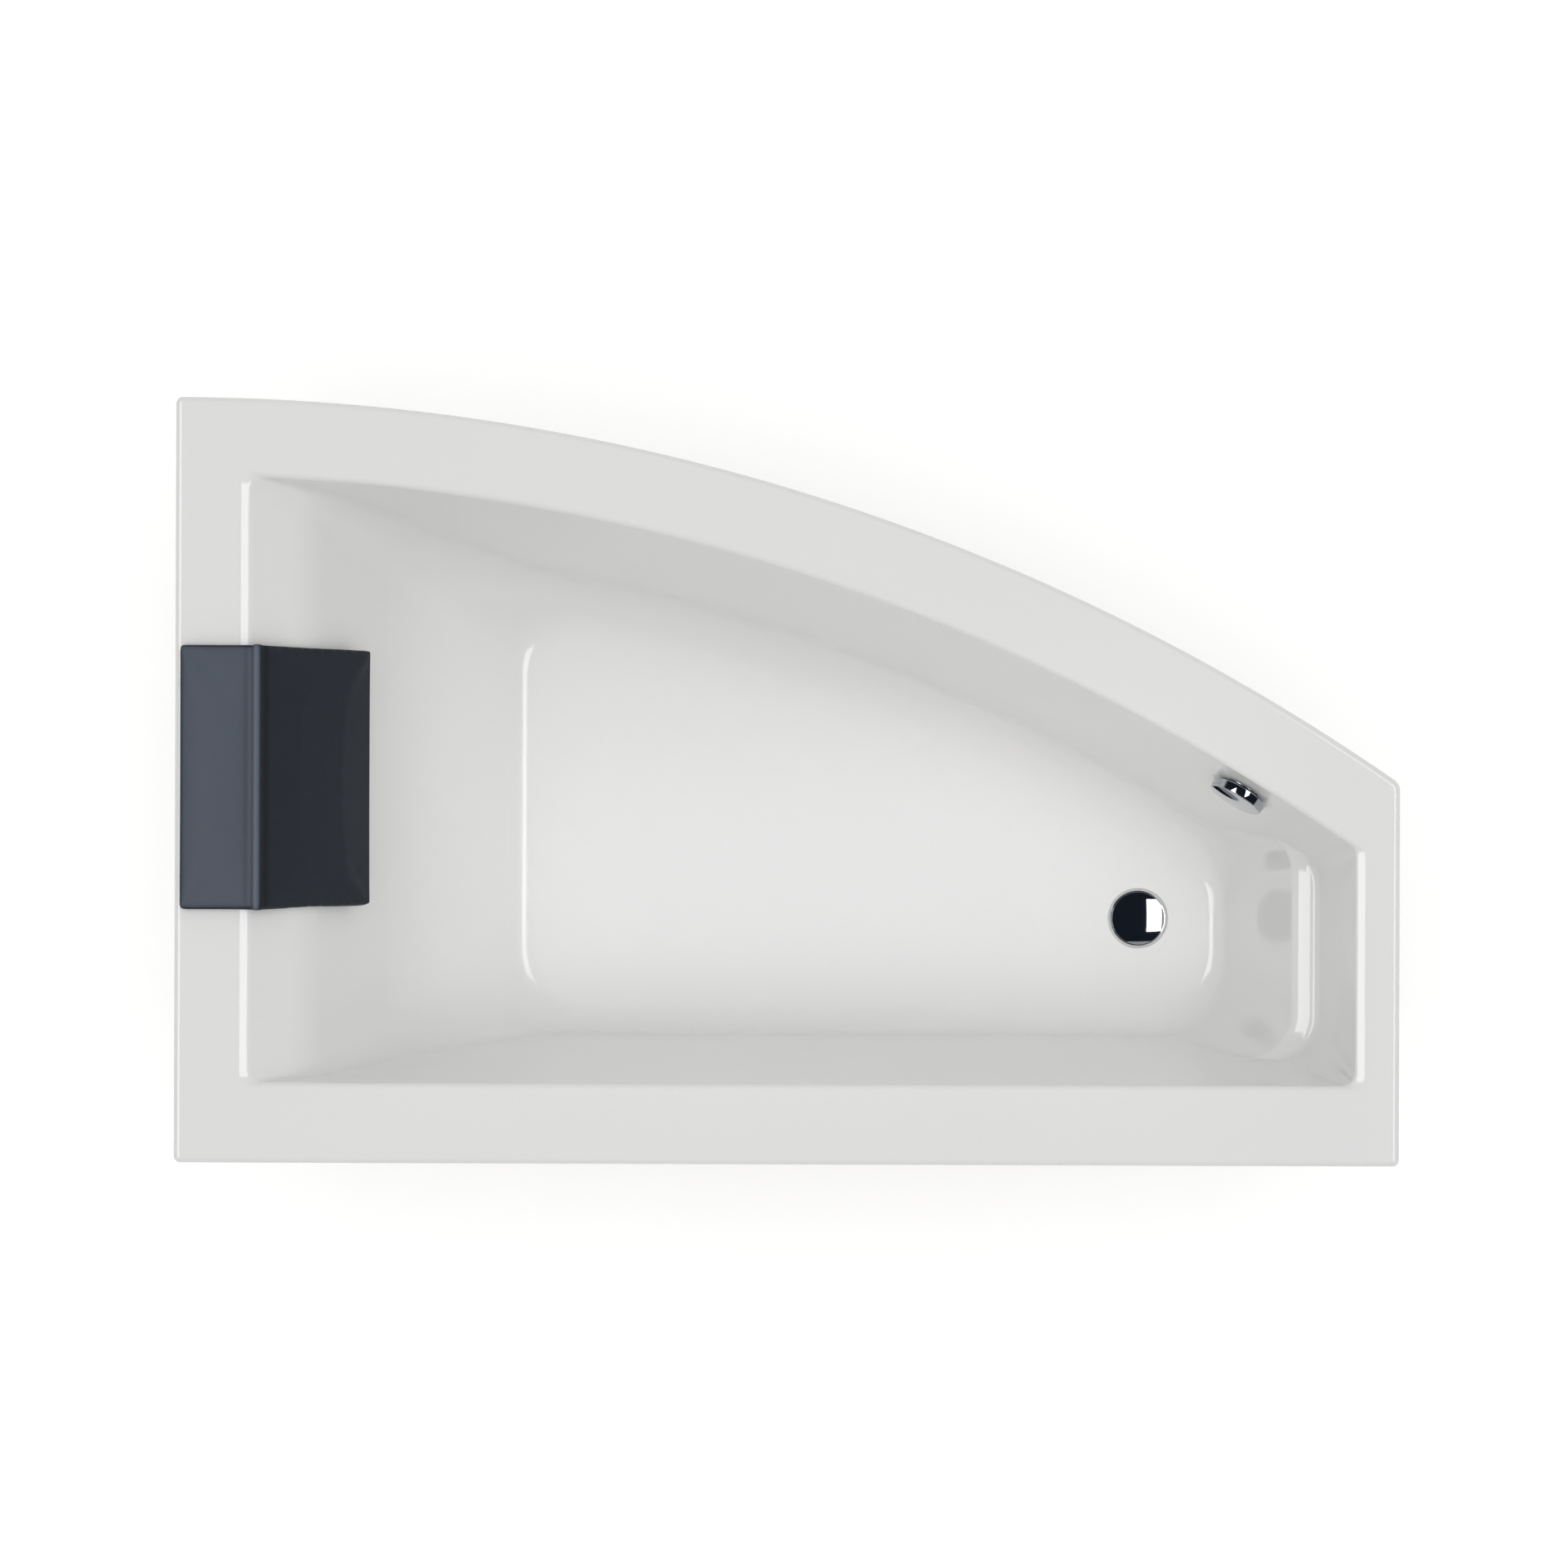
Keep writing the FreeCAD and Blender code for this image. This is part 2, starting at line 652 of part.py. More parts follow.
def hex_nuts(label, height, lift):
    """A nut or bush round each levelling rod, as one group of separate solids."""
    group = Piece(label)
    for x, y in FEET:
        group.prism("nut_radius", height, (x, y, lift))
        group.cylinder("rod_radius + rod_clear", f"{height} + 2", (x, y, f"{lift} - 1"), how=CUT)
    return group


def make_foot(number, x, y):
    """A levelling foot: threaded rod with its lower end held in a ribbed plastic pad."""
    rod = Piece(f"foot_rod_{number}")
    socket = "pad_height - 10"
    length = f"{FLOOR_UNDER} - rod_top_gap - ({socket})"
    rod.cylinder("rod_radius", length, (0, 0, socket))
    rod.solid(CUT, "Box", {"Length": 1.2, "Width": "3 * rod_radius", "Height": 3},
              (-0.6, "-1.5 * rod_radius", f"{FLOOR_UNDER} - rod_top_gap - 2.5"))
    rod.at(x, y, 0)
    pad = Piece(f"foot_pad_{number}")
    hub = "rod_radius + 5"
    pad.turned([(0, 0), ("pad_radius", 0), ("pad_radius", 4), ("pad_radius - 6", 7),
                (hub, 8), ("rod_radius + 3.5", "pad_height"), (0, "pad_height")])
    pad.cylinder("rod_radius + 0.02", 12, (0, 0, socket), how=CUT)
    pad.at(x, y, 0)
    return rod, pad


def make_battens():
    """Chipboard strips bonded under the flat rim, where the bath is held to the walls."""
    low = f"{RIM_UNDER} - batten_thick"
    side = Piece("wall_rim_batten")
    y = "-tub_width / 2 + shell_wall + batten_gap + batten_width / 2"
    side.block("wall_batten_length", "batten_width", "batten_thick", (0, y, low))
    side.round(2, lambda edge: edge.Length > 100 and edge.BoundBox.ZMax < S.rim_top - S.shell_wall - 1)
    head = Piece("head_rim_batten")
    x = "-tub_length / 2 + shell_wall + batten_gap + batten_width * 0.35"
    head.block("batten_width * 0.7", "head_batten_length", "batten_thick", (x, 0, low))
    head.round(2, lambda edge: edge.Length > 100 and edge.BoundBox.ZMax < S.rim_top - S.shell_wall - 1)
    return side, head


CLIP_PLACES = (-480, 0, 480)


def make_wall_clips():
    """Folded steel clips: a plate that screws to the wall, a ledge under the rim's turned-down
    edge and a lip behind it."""
    clips = Piece("wall_clips")
    skirt = "rim_top - skirt_height"
    plate_height, sheet, gap = 52, 2, 0.4
    for x in CLIP_PLACES:
        outside = f"-tub_width / 2 + {sheet} / 2"
        clips.block(60, sheet, plate_height, (x, outside, f"{skirt} - {sheet} - {plate_height}"))
        depth = f"(shell_wall + {gap} + {sheet})"
        clips.block(60, depth, sheet, (x, f"-tub_width / 2 + {depth} / 2", f"{skirt} - {sheet}"))
        lip = f"-tub_width / 2 + shell_wall + {gap} + {sheet} / 2"
        clips.block(60, sheet, 14, (x, lip, skirt))
        for side in (-20, 20):
            clips.cylinder(2.75, 8, (x + side, "-tub_width / 2 - 1", f"{skirt} - 34"), ALONG_Y, CUT)
    return clips


base_board = make_base_board()
head_cross_rail = make_rail("head_cross_rail", *RAILS[0])
foot_cross_rail = make_rail("foot_cross_rail", *RAILS[1])
rail_screws = make_rail_screws()
bush_low = f"{RAIL_TOP} - rail_sheet - bush_height"
foot_bushes = hex_nuts("foot_bushes", "bush_height", bush_low)
foot_lock_nuts = hex_nuts("foot_lock_nuts", "nut_height", f"{bush_low} - nut_height")
for number, (x, y) in enumerate(FEET, start=1):
    make_foot(number, x, y)
make_battens()
make_wall_clips()


# ---------------------------------------------------------------- waste, plug and trap

DRAIN = ("drain_place", "drain_offset")
RECESS = f"{FLOOR_TOP} - recess_drop"
FLANGE_UNDER = f"{RECESS} + seal_thick"
FLANGE_TOP = f"{FLANGE_UNDER} + flange_thick"
BOSS_UNDER = f"{FLOOR_UNDER} - recess_drop"
BODY_TOP = f"{BOSS_UNDER} - gasket_thick"
BODY_LOW = f"{BODY_TOP} - body_depth"
PORT_LEVEL = f"{BODY_TOP} - port_drop"
LEVER_LEVEL = f"{BODY_TOP} - lever_drop"

body_top = S.rim_top - S.basin_depth - S.shell_wall - S.recess_drop - S.gasket_thick
port_level = body_top - S.port_drop
drain_axis = Vector(S.drain_place, S.drain_offset, 0)


def hose_corner():
    """Where the hose's steep run down behind the wall meets its level run to the waste."""
    top = OVERFLOW.multVec(Vector(0, 0, -S.hose_behind))
    down = OVERFLOW.Rotation.multVec(Vector(0, -1, 0))
    return top + down * ((top.z - port_level) / -down.z)


HOSE_CORNER = hose_corner()
HOSE_WAY = Vector(HOSE_CORNER.x - drain_axis.x, HOSE_CORNER.y - drain_axis.y, 0).normalize()
HOSE_SIDE = Vector(HOSE_WAY.y, -HOSE_WAY.x, 0)
HOSE_TURN = Rotation(Vector(0, 0, 1), math.degrees(math.atan2(HOSE_WAY.y, HOSE_WAY.x)))


def ring(label, outer, inner, low, height, place=DRAIN):
    """A flat washer or seal about an upright axis."""
    piece = Piece(label)
    piece.turned([(inner, 0), (outer, 0), (outer, height), (inner, height)])
    return piece.at(*place, low)


def make_waste_flange():
    """Chromed flange in the floor's recess: dished rim, threaded throat and a cross of four
    spokes whose hub guides the plug's stem."""
    flange = Piece("waste_flange")
    thick = "flange_thick"
    inner = "throat_radius - throat_wall"
    flange.turned([
        (inner, "-throat_depth"), ("throat_radius", "-throat_depth"), ("throat_radius", 0),
        ("flange_radius - 1", 0), ("flange_radius", 0.6), ("flange_radius", f"{thick} - 0.6"),
        ("flange_radius - 1", thick), ("throat_radius + 8", thick), (inner, f"{thick} - 2"),
    ])
    spokes = "-throat_depth + 1"
    flange.cylinder("stem_radius + 3", 8, (0, 0, spokes))
    flange.block(f"2 * ({inner}) + 1", 2.4, 6, (0, 0, spokes))
    flange.block(2.4, f"2 * ({inner}) + 1", 6, (0, 0, spokes))
    flange.cylinder("stem_radius + stem_clear", 12, (0, 0, "-throat_depth - 1"), how=CUT)
    return flange.at(*DRAIN, FLANGE_UNDER)


def dome(edge, rise):
    """Arc from a point up to the axis, part of a circle whose centre lies on the axis."""
    radius = (edge.x ** 2 + rise ** 2) / (2 * rise)
    hub = Vector(0, edge.y + rise - radius, 0)
    begin = math.atan2(edge.y - hub.y, edge.x)
    return Part.ArcOfCircle(Part.Circle(hub, Vector(0, 0, 1), radius), begin, math.pi / 2)


def make_plug():
    """The plug that lifts: domed cap, the seal ring let into it and the stem that carries it."""
    cap = Piece("waste_plug")
    radius, low, edge = S.plug_radius, 0.3, 1.8
    corners = [Vector(0, low, 0), Vector(radius - 0.8, low, 0), Vector(radius, low + 0.8, 0),
               Vector(radius, edge, 0)]
    sides = [Part.LineSegment(a, b) for a, b in zip(corners, corners[1:])]
    top = Vector(0, edge + S.plug_rise, 0)
    cap.turned(sides + [dome(corners[-1], S.plug_rise), Part.LineSegment(top, corners[0])])
    groove = (f"{PLUG_SEAL} - 2.5", f"{PLUG_SEAL} + 2.5")
    cap.turned([(groove[0], -1), (groove[1], -1), (groove[1], 1.6), (groove[0], 1.6)], cut=True)
    cap.cylinder("stem_radius", 3, (0, 0, -1), how=CUT)
    cap.at(*DRAIN, FLANGE_TOP)
    seal = ring("plug_seal", groove[1], groove[0], f"{FLANGE_TOP} + 0.1", 1.5)
    stem = Piece("plug_stem")
    low = f"{LEVER_LEVEL} + 3.4"
    stem.cylinder("stem_radius", f"{FLANGE_TOP} + 2 - ({low})").at(*DRAIN, low)
    return cap, seal, stem


PLUG_SEAL = "(flange_radius - 5)"


def make_waste_body():
    """Moulded waste housing under the floor: flanged cup, a side port for the overflow hose, a
    socket for the lift lever's cable, and a neck that drops into the trap."""
    body = Piece("waste_body")
    outer, wall, deep = "body_radius", "body_wall", "body_depth"
    bore = "throat_radius + 0.15"
    neck = "pipe_radius - pipe_wall - 0.3"
    drop = f"-({deep}) - neck_length"
    body.turned([
        (bore, 0), (f"{outer} + 7", 0), (f"{outer} + 7", -5), (outer, -7),
        (outer, f"-({deep}) + 10"), (f"{neck} + 6", f"-({deep})"), (neck, f"-({deep})"), (neck, drop),
        (f"{neck} - {wall}", drop), (f"{neck} - {wall}", f"-({deep}) + 3"),
        (f"{outer} - {wall}", f"-({deep}) + 12"), (f"{outer} - {wall}", -12), (bore, -9),
    ])
    along = HOSE_TURN.multiply(ALONG_X)
    spigot = "hose_radius - hose_wall - 0.2"
    start = HOSE_WAY * (S.body_radius - S.body_wall + 0.5)
    body.cylinder(spigot, f"port_reach - {start.Length}", (start.x, start.y, "-port_drop"), along)
    body.cylinder(f"{spigot} - 2", "port_reach", (start.x - 1, start.y - 1, "-port_drop"), along, CUT)
    spot = HOSE_WAY * (S.body_radius - 16) + HOSE_SIDE * S.cable_offset
    body.cylinder("cable_radius + 3", "socket_reach - body_radius + 16", (spot.x, spot.y, "-port_drop"), along)
    body.cylinder("body_radius - body_wall", f"{deep} - 24", (0, 0, f"-({deep}) + 12"), how=CUT)
    mouth = HOSE_WAY * (S.socket_reach - S.socket_depth) + HOSE_SIDE * S.cable_offset
    body.cylinder("cable_radius", 20, (mouth.x, mouth.y, "-port_drop"), along, CUT)
    wire = HOSE_WAY * 10 + HOSE_SIDE * S.cable_offset
    body.cylinder(1.2, "socket_reach", (wire.x, wire.y, "-port_drop"), along, CUT)
    seat = LEVER_SPOT - HOSE_SIDE * (S.lever_half + 0.3)
    across = HOSE_TURN.multiply(Rotation(Vector(1, 0, 0), 90))
    body.cylinder("lever_shaft + 0.1", "2 * lever_half + 0.6", (seat.x, seat.y, "-lever_drop"), across, CUT)
    return body.at(*DRAIN, BODY_TOP)


LEVER_SPOT = HOSE_WAY * S.lever_arm


def make_lift_lever():
    """Lever inside the waste: a cross shaft that the cable's crank turns, and a toe that raises
    the plug's stem.  Its own +X points at the drain's axis and its shaft lies along Y."""
    lever = Piece("lift_lever")
    lever.cylinder("lever_shaft", "2 * lever_half", (0, "-lever_half", 0), ALONG_Y)
    lever.block("lever_arm", 5, 3, ("lever_arm / 2", 0, -1.5))
    lever.cylinder(2.5, 6, ("lever_arm", -3, 0.5), ALONG_Y)
    lever.block(4, 3, "lever_drop - port_drop", (0, "lever_half - 14", 0))
    turn = HOSE_TURN.multiply(Rotation(Vector(0, 0, 1), 180))
    spot = drain_axis + LEVER_SPOT
    lever.body.Placement = Placement(Vector(spot.x, spot.y, body_top - S.lever_drop), turn)
    return lever


def bent_path(points, radii):
    """Straight runs between the points, joined by tangent arcs of the given radii."""
    edges, start = [], points[0]
    for before, corner, after, radius in zip(points, points[1:], points[2:], radii):
        back = (before - corner).normalize()
        ahead = (after - corner).normalize()
        half = back.getAngle(ahead) / 2
        reach = radius / math.tan(half)
        first, last = corner + back * reach, corner + ahead * reach
        centre = corner + (back + ahead).normalize() * (radius / math.sin(half))
        middle = centre + (corner - centre).normalize() * radius
        edges += [Part.LineSegment(start, first), Part.Arc(first, middle, last)]
        start = last
    edges.append(Part.LineSegment(start, points[-1]))
    return edges


def pipe(piece, points, radii, outer, inner, spine_plane, profile_plane):
    """A bent tube of a piece, whose spine starts at its origin."""
    for radius, how in ((outer, ADD), (inner, CUT)):
        spine = piece.wire(bent_path(points, radii), spine_plane)
        profile = piece.wire([Part.Circle(Vector(), Vector(0, 0, 1), radius)], profile_plane)
        feature = piece.body.newObject(f"PartDesign::{how}Pipe", piece._name("pipe"))
        feature.Profile = profile
        feature.Spine = spine
        doc.recompute()
    return piece


def make_trap():
    """Low bath trap: seal, nut, U-bend with its outlet arm, and the elbow towards the wall."""
    socket = "pipe_radius + 3"
    ring("trap_seal", f"{socket}", "pipe_radius - pipe_wall", f"{BODY_LOW} - 3", 3)
    nut = Piece("trap_nut")
    nut.turned([(f"{socket} + 0.1", "-trap_nut_height"), ("trap_nut_radius", "-trap_nut_height"),
                ("trap_nut_radius", -4), ("trap_nut_radius - 1", -3), (f"{socket} + 0.1", -3)])
    nut.at(*DRAIN, BODY_LOW)
    inlet = body_top - S.body_depth - 3
    low = S.trap_low_gap + S.pipe_radius
    bend = S.trap_bend
    rise = low + bend + 4 + S.arm_bend
    points = [Vector(0, 0, 0), Vector(0, low - inlet, 0), Vector(2 * bend, low - inlet, 0),
              Vector(2 * bend, rise - inlet, 0), Vector(2 * bend + S.arm_reach, rise - inlet, 0)]
    trap = Piece("trap_body")
    inner = S.pipe_radius - S.pipe_wall
    pipe(trap, points, [bend - 3, bend - 3, S.arm_bend], S.pipe_radius, inner, "XZ_Plane", "XY_Plane")
    trap.cylinder(socket, 26, (0, 0, -26))
    trap.cylinder("pipe_radius - pipe_wall", 28, (0, 0, -27), how=CUT)
    trap.at(*DRAIN, f"{BODY_LOW} - 3")
    elbow = Piece("outlet_elbow")
    arm_end = S.drain_place + 2 * bend + S.arm_reach
    start = arm_end - S.elbow_lap
    turn = S.outlet_bend + S.elbow_lap + 6
    reach = S.outlet_reach
    points = [Vector(0, 0, 0), Vector(turn, 0, 0), Vector(turn, -reach, 0)]
    pipe(elbow, points, [S.outlet_bend], S.outlet_radius, S.outlet_radius - S.outlet_wall, "XY_Plane", "YZ_Plane")
    lip = "outlet_radius + 3.5"
    elbow.cylinder(lip, 12, (0, 0, 0), ALONG_X)
    elbow.cylinder("outlet_radius - outlet_wall", 14, (-1, 0, 0), ALONG_X, CUT)
    elbow.body.Placement = Placement(Vector(start, S.drain_offset, rise), Rotation())
    seal = Piece("outlet_seal")
    gap = [("pipe_radius + 0.05", 2), ("outlet_radius - outlet_wall - 0.05", 2),
           ("outlet_radius - outlet_wall - 0.05", 10), ("pipe_radius + 0.05", 10)]
    seal.turned(gap)
    seal.body.Placement = Placement(Vector(start, S.drain_offset, rise), ALONG_X)
    return trap, elbow


ring("waste_flange_seal", "flange_radius - 1", "throat_radius + 0.5", RECESS, "seal_thick")
ring("waste_gasket", "body_radius + 6", "throat_radius + 0.5", BODY_TOP, "gasket_thick")
make_waste_flange()
make_plug()
make_waste_body()
make_lift_lever()
make_trap()


# ---------------------------------------------------------------- overflow, knob, hose and cable

OUTSIDE = "-shell_wall - 0.5"            # flat seat on the wall's outer face
HOUSING_FRONT = f"({OUTSIDE} - gasket_thick)"
HOUSING_BACK = f"({HOUSING_FRONT} - housing_depth)"
PILLARS = (-1, 1)


def make_overflow_fixed():
    """Gasket, bezel, housing and screws that clamp the wall between them."""
    gasket = Piece("overflow_gasket", OVERFLOW)
    gasket.turned([("housing_radius - 1", f"{HOUSING_FRONT}"), ("housing_radius - 1", OUTSIDE),
                   ("overflow_hole_radius + 0.5", OUTSIDE), ("overflow_hole_radius + 0.5", HOUSING_FRONT)])
    bezel = Piece("overflow_bezel", OVERFLOW)
    hub = "shaft_radius + 3"
    bezel.turned([("shaft_radius + 0.08", -14), (hub, -14), (hub, 0), ("bezel_radius", 0),
                  ("bezel_radius", 2), ("bezel_radius - 1", 3), ("shaft_radius + 0.08", 3)])
    for turn in range(36, 360, 36):
        if turn != 180:
            way = Rotation(Vector(0, 0, 1), turn)
            corner = way.multVec(Vector(S.pillar_place - 5.5, -2.5, -1))
            bezel.solid(CUT, "Box", {"Length": 11, "Width": 5, "Height": 8}, tuple(corner), way)
    housing = Piece("overflow_housing", OVERFLOW)
    outer, inner = "housing_radius - 3", "housing_radius - 3 - body_wall"
    housing.turned([
        ("shaft_radius + 0.08", f"{HOUSING_BACK} + body_wall"), (inner, f"{HOUSING_BACK} + body_wall"),
        (inner, HOUSING_FRONT), ("housing_radius", HOUSING_FRONT), ("housing_radius", f"{HOUSING_FRONT} - 4"),
        (outer, f"{HOUSING_FRONT} - 4"), (outer, f"{HOUSING_BACK} + 2"), (f"{outer} - 2", HOUSING_BACK),
        (hub, HOUSING_BACK), (hub, f"{HOUSING_BACK} - 3"), (0, f"{HOUSING_BACK} - 3"),
        (0, f"{HOUSING_BACK} - 0.5"), ("shaft_radius + 0.08", f"{HOUSING_BACK} - 0.5"),
    ])
    screws = Piece("overflow_screws", OVERFLOW)
    for side in PILLARS:
        place = f"{side} * pillar_place"
        housing.cylinder(4, "housing_depth - body_wall - 2", (place, 0, f"{HOUSING_BACK} + body_wall - 0.5"))
        housing.cylinder(2, "housing_depth - body_wall - 5", (place, 0, f"{HOUSING_BACK} + body_wall + 4"), how=CUT)
        bezel.cylinder(2.2, 8, (place, 0, -2), how=CUT)
        screws.cylinder(2, 30, (place, 0, -27))
        screws.cylinder(3.8, 1.8, (place, 0, 3))
    spigot = "hose_radius - hose_wall - 0.2"
    down = Rotation(Vector(1, 0, 0), 90)
    start = S.housing_radius - 3 - S.body_wall + 0.5
    housing.cylinder(spigot, f"spout_drop - {start}", (0, -start, "-hose_behind"), down)
    housing.cylinder(f"{spigot} - 2", "spout_drop", (0, f"-{start} + 1.5", "-hose_behind"), down, CUT)
    socket = CABLE_TOP
    root = S.housing_radius - 23
    housing.cylinder("cable_radius + 3", -socket.y - root + 9, (socket.x, -root, socket.z), down)
    housing.cylinder("cable_radius", 24, (socket.x, socket.y, socket.z), down, CUT)
    return housing


CABLE_TOP = OVERFLOW.inverse().multVec(
    OVERFLOW.multVec(Vector(0, -S.cable_top_drop, -S.hose_behind)) + HOSE_SIDE * S.cable_offset)


def make_knob():
    """What turns in the overflow: the chromed cap, its shaft and the cam that pulls the cable."""
    cap = Piece("overflow_knob", OVERFLOW)
    base, height, wall = S.knob_gap, S.knob_height, S.knob_wall
    radius, top = S.knob_radius, S.knob_gap + S.knob_height
    shoulder = Vector(radius - 1.5, top - 4, 0)
    crown = dome(shoulder, 4)
    corners = [Vector(0, top, 0), Vector(0, base + 3, 0), Vector(9, base + 3, 0), Vector(9, top - wall - 2.5, 0),
               Vector(radius - 9, top - wall - 2.5, 0), Vector(radius - wall, top - wall - 5, 0),
               Vector(radius - wall, base, 0), Vector(radius, base, 0), shoulder]
    cap.turned([crown] + [Part.LineSegment(a, b) for a, b in zip(corners, corners[1:])])
    cap.cylinder("shaft_radius", 4, (0, 0, "knob_gap + 2.5"), how=CUT)
    shaft = Piece("knob_shaft", OVERFLOW)
    low = f"{HOUSING_BACK}"
    shaft.cylinder("shaft_radius", f"knob_gap + 6.5 - ({low})", (0, 0, low))
    cam = Piece("drive_cam", OVERFLOW)
    cam_low = f"{HOUSING_BACK} + body_wall + 1"
    cam.cylinder("shaft_radius + 4", 6, (0, 0, cam_low))
    cam.block("cam_reach", 6, 4, ("-cam_reach / 2", 0, cam_low))
    cam.cylinder(3, 4, ("-cam_reach", 0, cam_low))
    cam.cylinder("shaft_radius", 10, (0, 0, f"{cam_low} - 2"), how=CUT)
    return cap


def make_hose_and_cable():
    """Overflow hose and the lever's cable, side by side down the wall and in under the floor."""
    for label, outer, inner, shift, top, end in (
        ("overflow_hose", S.hose_radius, S.hose_radius - S.hose_wall, Vector(), S.spout_drop - S.hose_lap,
         S.port_reach - S.hose_lap),
        ("bowden_cable", S.cable_radius, 0, HOSE_SIDE * S.cable_offset, S.cable_top_drop,
         S.socket_reach - S.socket_depth),
    ):
        start = OVERFLOW.multVec(Vector(0, -top, -S.hose_behind)) + shift
        corner = HOSE_CORNER + shift
        finish = drain_axis + HOSE_WAY * end + Vector(0, 0, port_level) + shift
        bend = S.hose_bend if inner else S.cable_bend
        path = Part.Wire([edge.toShape() for edge in bent_path([start, corner, finish], [bend])])
        way = (corner - start).normalize()
        tubes = []
        for radius in (outer, inner):
            if radius:
                section = Part.Wire([Part.makeCircle(radius, start, way)])
                tubes.append(path.makePipeShell([section], True, False))
        shape = tubes[0].cut(tubes[1]) if inner else tubes[0]
        fixed(label, shape)
        area = math.pi * (outer ** 2 - inner ** 2)
        print(f"{label}: length {path.Length:.0f} mm, bend radius {bend:.0f} mm, "
              f"volume {shape.Volume / (area * path.Length):.4f} of section times length")


def make_hose_nuts():
    """Ribbed nuts that clamp the hose on its two spigots, as one group."""
    nuts = Piece("hose_nuts")
    outer, inner = "hose_radius + 4", "hose_radius + 0.1"
    ends = (
        (OVERFLOW.multVec(Vector(0, -S.spout_drop + S.hose_lap - 1, -S.hose_behind)),
         OVERFLOW.Rotation.multVec(Vector(0, -1, 0))),
        (drain_axis + HOSE_WAY * (S.port_reach - S.hose_lap + 1) + Vector(0, 0, port_level), HOSE_WAY),
    )
    for spot, way in ends:
        turn = Rotation(Vector(0, 0, 1), way)
        spot = spot + way * 2
        nuts.cylinder(outer, "hose_lap", (spot.x, spot.y, spot.z), turn)
        nuts.cylinder(inner, "hose_lap + 2", tuple(spot - way), turn, CUT)
    return nuts


def make_cable_clips():
    """Plastic clips that hold the cable to the hose on the run down the wall, as one group."""
    clips = Piece("cable_clips", OVERFLOW)
    down = Rotation(Vector(1, 0, 0), 90)
    for drop in (150, 270):
        cable = Vector(CABLE_TOP.x, -drop, CABLE_TOP.z)
        middle = cable.x / 2
        clips.cylinder("hose_radius + 2.2", 8, (0, -drop, "-hose_behind"), down)
        clips.cylinder("cable_radius + 2", 8, (cable.x, -drop, cable.z), down)
        clips.block(abs(cable.x), 8, 5, (middle, -drop - 4, -S.hose_behind / 2 + cable.z / 2 - 2.5))
        clips.cylinder("hose_radius + 0.1", 12, (0, -drop + 2, "-hose_behind"), down, CUT)
        clips.cylinder("cable_radius + 0.1", 12, (cable.x, -drop + 2, cable.z), down, CUT)
    return clips


make_overflow_fixed()
make_knob()
make_hose_and_cable()
make_hose_nuts()
make_cable_clips()


# ---------------------------------------------------------------- headrest

def make_headrest():
    """Foam headrest bent over the head end's rim, and the four suction cups under it."""
    guide = head_profile(-S.headrest_clear)
    left = -S.tub_length / 2

    def point(inset, depth):
        return Vector(left + inset, S.rim_top - depth, 0)

    heel = point(guide.inset(S.headrest_reach), S.headrest_reach)
    tilt = math.radians(S.head_slope)
    toe = heel + Vector(math.cos(tilt), math.sin(tilt), 0) * S.headrest_lip
    fold = point(S.headrest_fold, -S.headrest_thick)
    back_top = point(S.headrest_edge_gap, -S.headrest_thick)
    back_low = point(S.headrest_edge_gap, -S.headrest_clear)
    edges, last = [], back_low
    for start, end, centre, radius, _ in guide.arcs[:2]:
        hub, first, final = point(*centre), point(*start), point(*end)
        middle = hub + ((first + final) * 0.5 - hub).normalize() * radius
        edges += [Part.LineSegment(last, first), Part.Arc(first, middle, final)]
        last = final
    corners = [last, heel, toe, fold, back_top, back_low]
    edges += [Part.LineSegment(a, b) for a, b in zip(corners, corners[1:])]
    cushion = Piece("headrest_cushion")
    cushion.pad(cushion.wire(edges, "XZ_Plane"), "headrest_width", middle=True)

    def long_edge(spot):
        def chosen(edge):
            box = edge.BoundBox
            near = abs(box.XMin - spot.x) < 1e-3 and abs(box.ZMin - spot.y) < 1e-3
            return near and edge.Length > S.headrest_width - 1
        return chosen

    for spot, radius in ((fold, 22), (toe, 9), (back_top, 5)):
        cushion.round(radius, long_edge(spot))
    cups = Piece("headrest_suction_cups")
    flat = (S.headrest_edge_gap + guide.arcs[0][0][0]) / 2
    span = S.headrest_width - 2 * S.cup_radius - 30
    for share in (-0.5, -1 / 6, 1 / 6, 0.5):
        place = (left + flat, f"{share} * {span}", f"rim_top + {S.headrest_clear}")
        cushion.cylinder("cup_radius + 1.5", "cup_height", (*place[:2], "rim_top"), how=CUT)
        cups.cylinder("cup_radius", 1.6, (*place[:2], "rim_top + 0.3"))
        cups.cylinder(6, "cup_height - 0.4", (*place[:2], "rim_top + 0.3"))
    cushion.at(0, "headrest_middle", 0)
    cups.at(0, "headrest_middle", 0)
    return cushion, cups


make_headrest()


# ---------------------------------------------------------------- checks and files

doc.recompute()
failed = [thing.Name for thing in doc.Objects if {"Invalid", "Error"} & set(thing.State)]
if failed:
    raise RuntimeError(f"these did not build: {failed}")
for node in nodes:
    if node.Shape.isNull() or not node.Shape.isValid() or not node.Shape.Solids:
        raise RuntimeError(f"{node.Label} has no valid solid")
os.makedirs("parts", exist_ok=True)
for node in nodes:
    node.Shape.exportStep(f"parts/{node.Label}.step")
print(f"{len(nodes)} pieces written")
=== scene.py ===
"""Looks of a handed acrylic corner bath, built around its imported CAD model.

The tub shell, the chromed fittings, the ribbed hose, the threaded feet and the padded headrest are made
here in detail and stand in for their CAD nodes; the other nodes stay and only get their finishes.
"""

import logging
import math
from dataclasses import dataclass, field
from enum import Enum
from typing import Any, Iterator, Sequence

import bmesh
import bpy
import numpy as np
from mathutils import Matrix, Vector


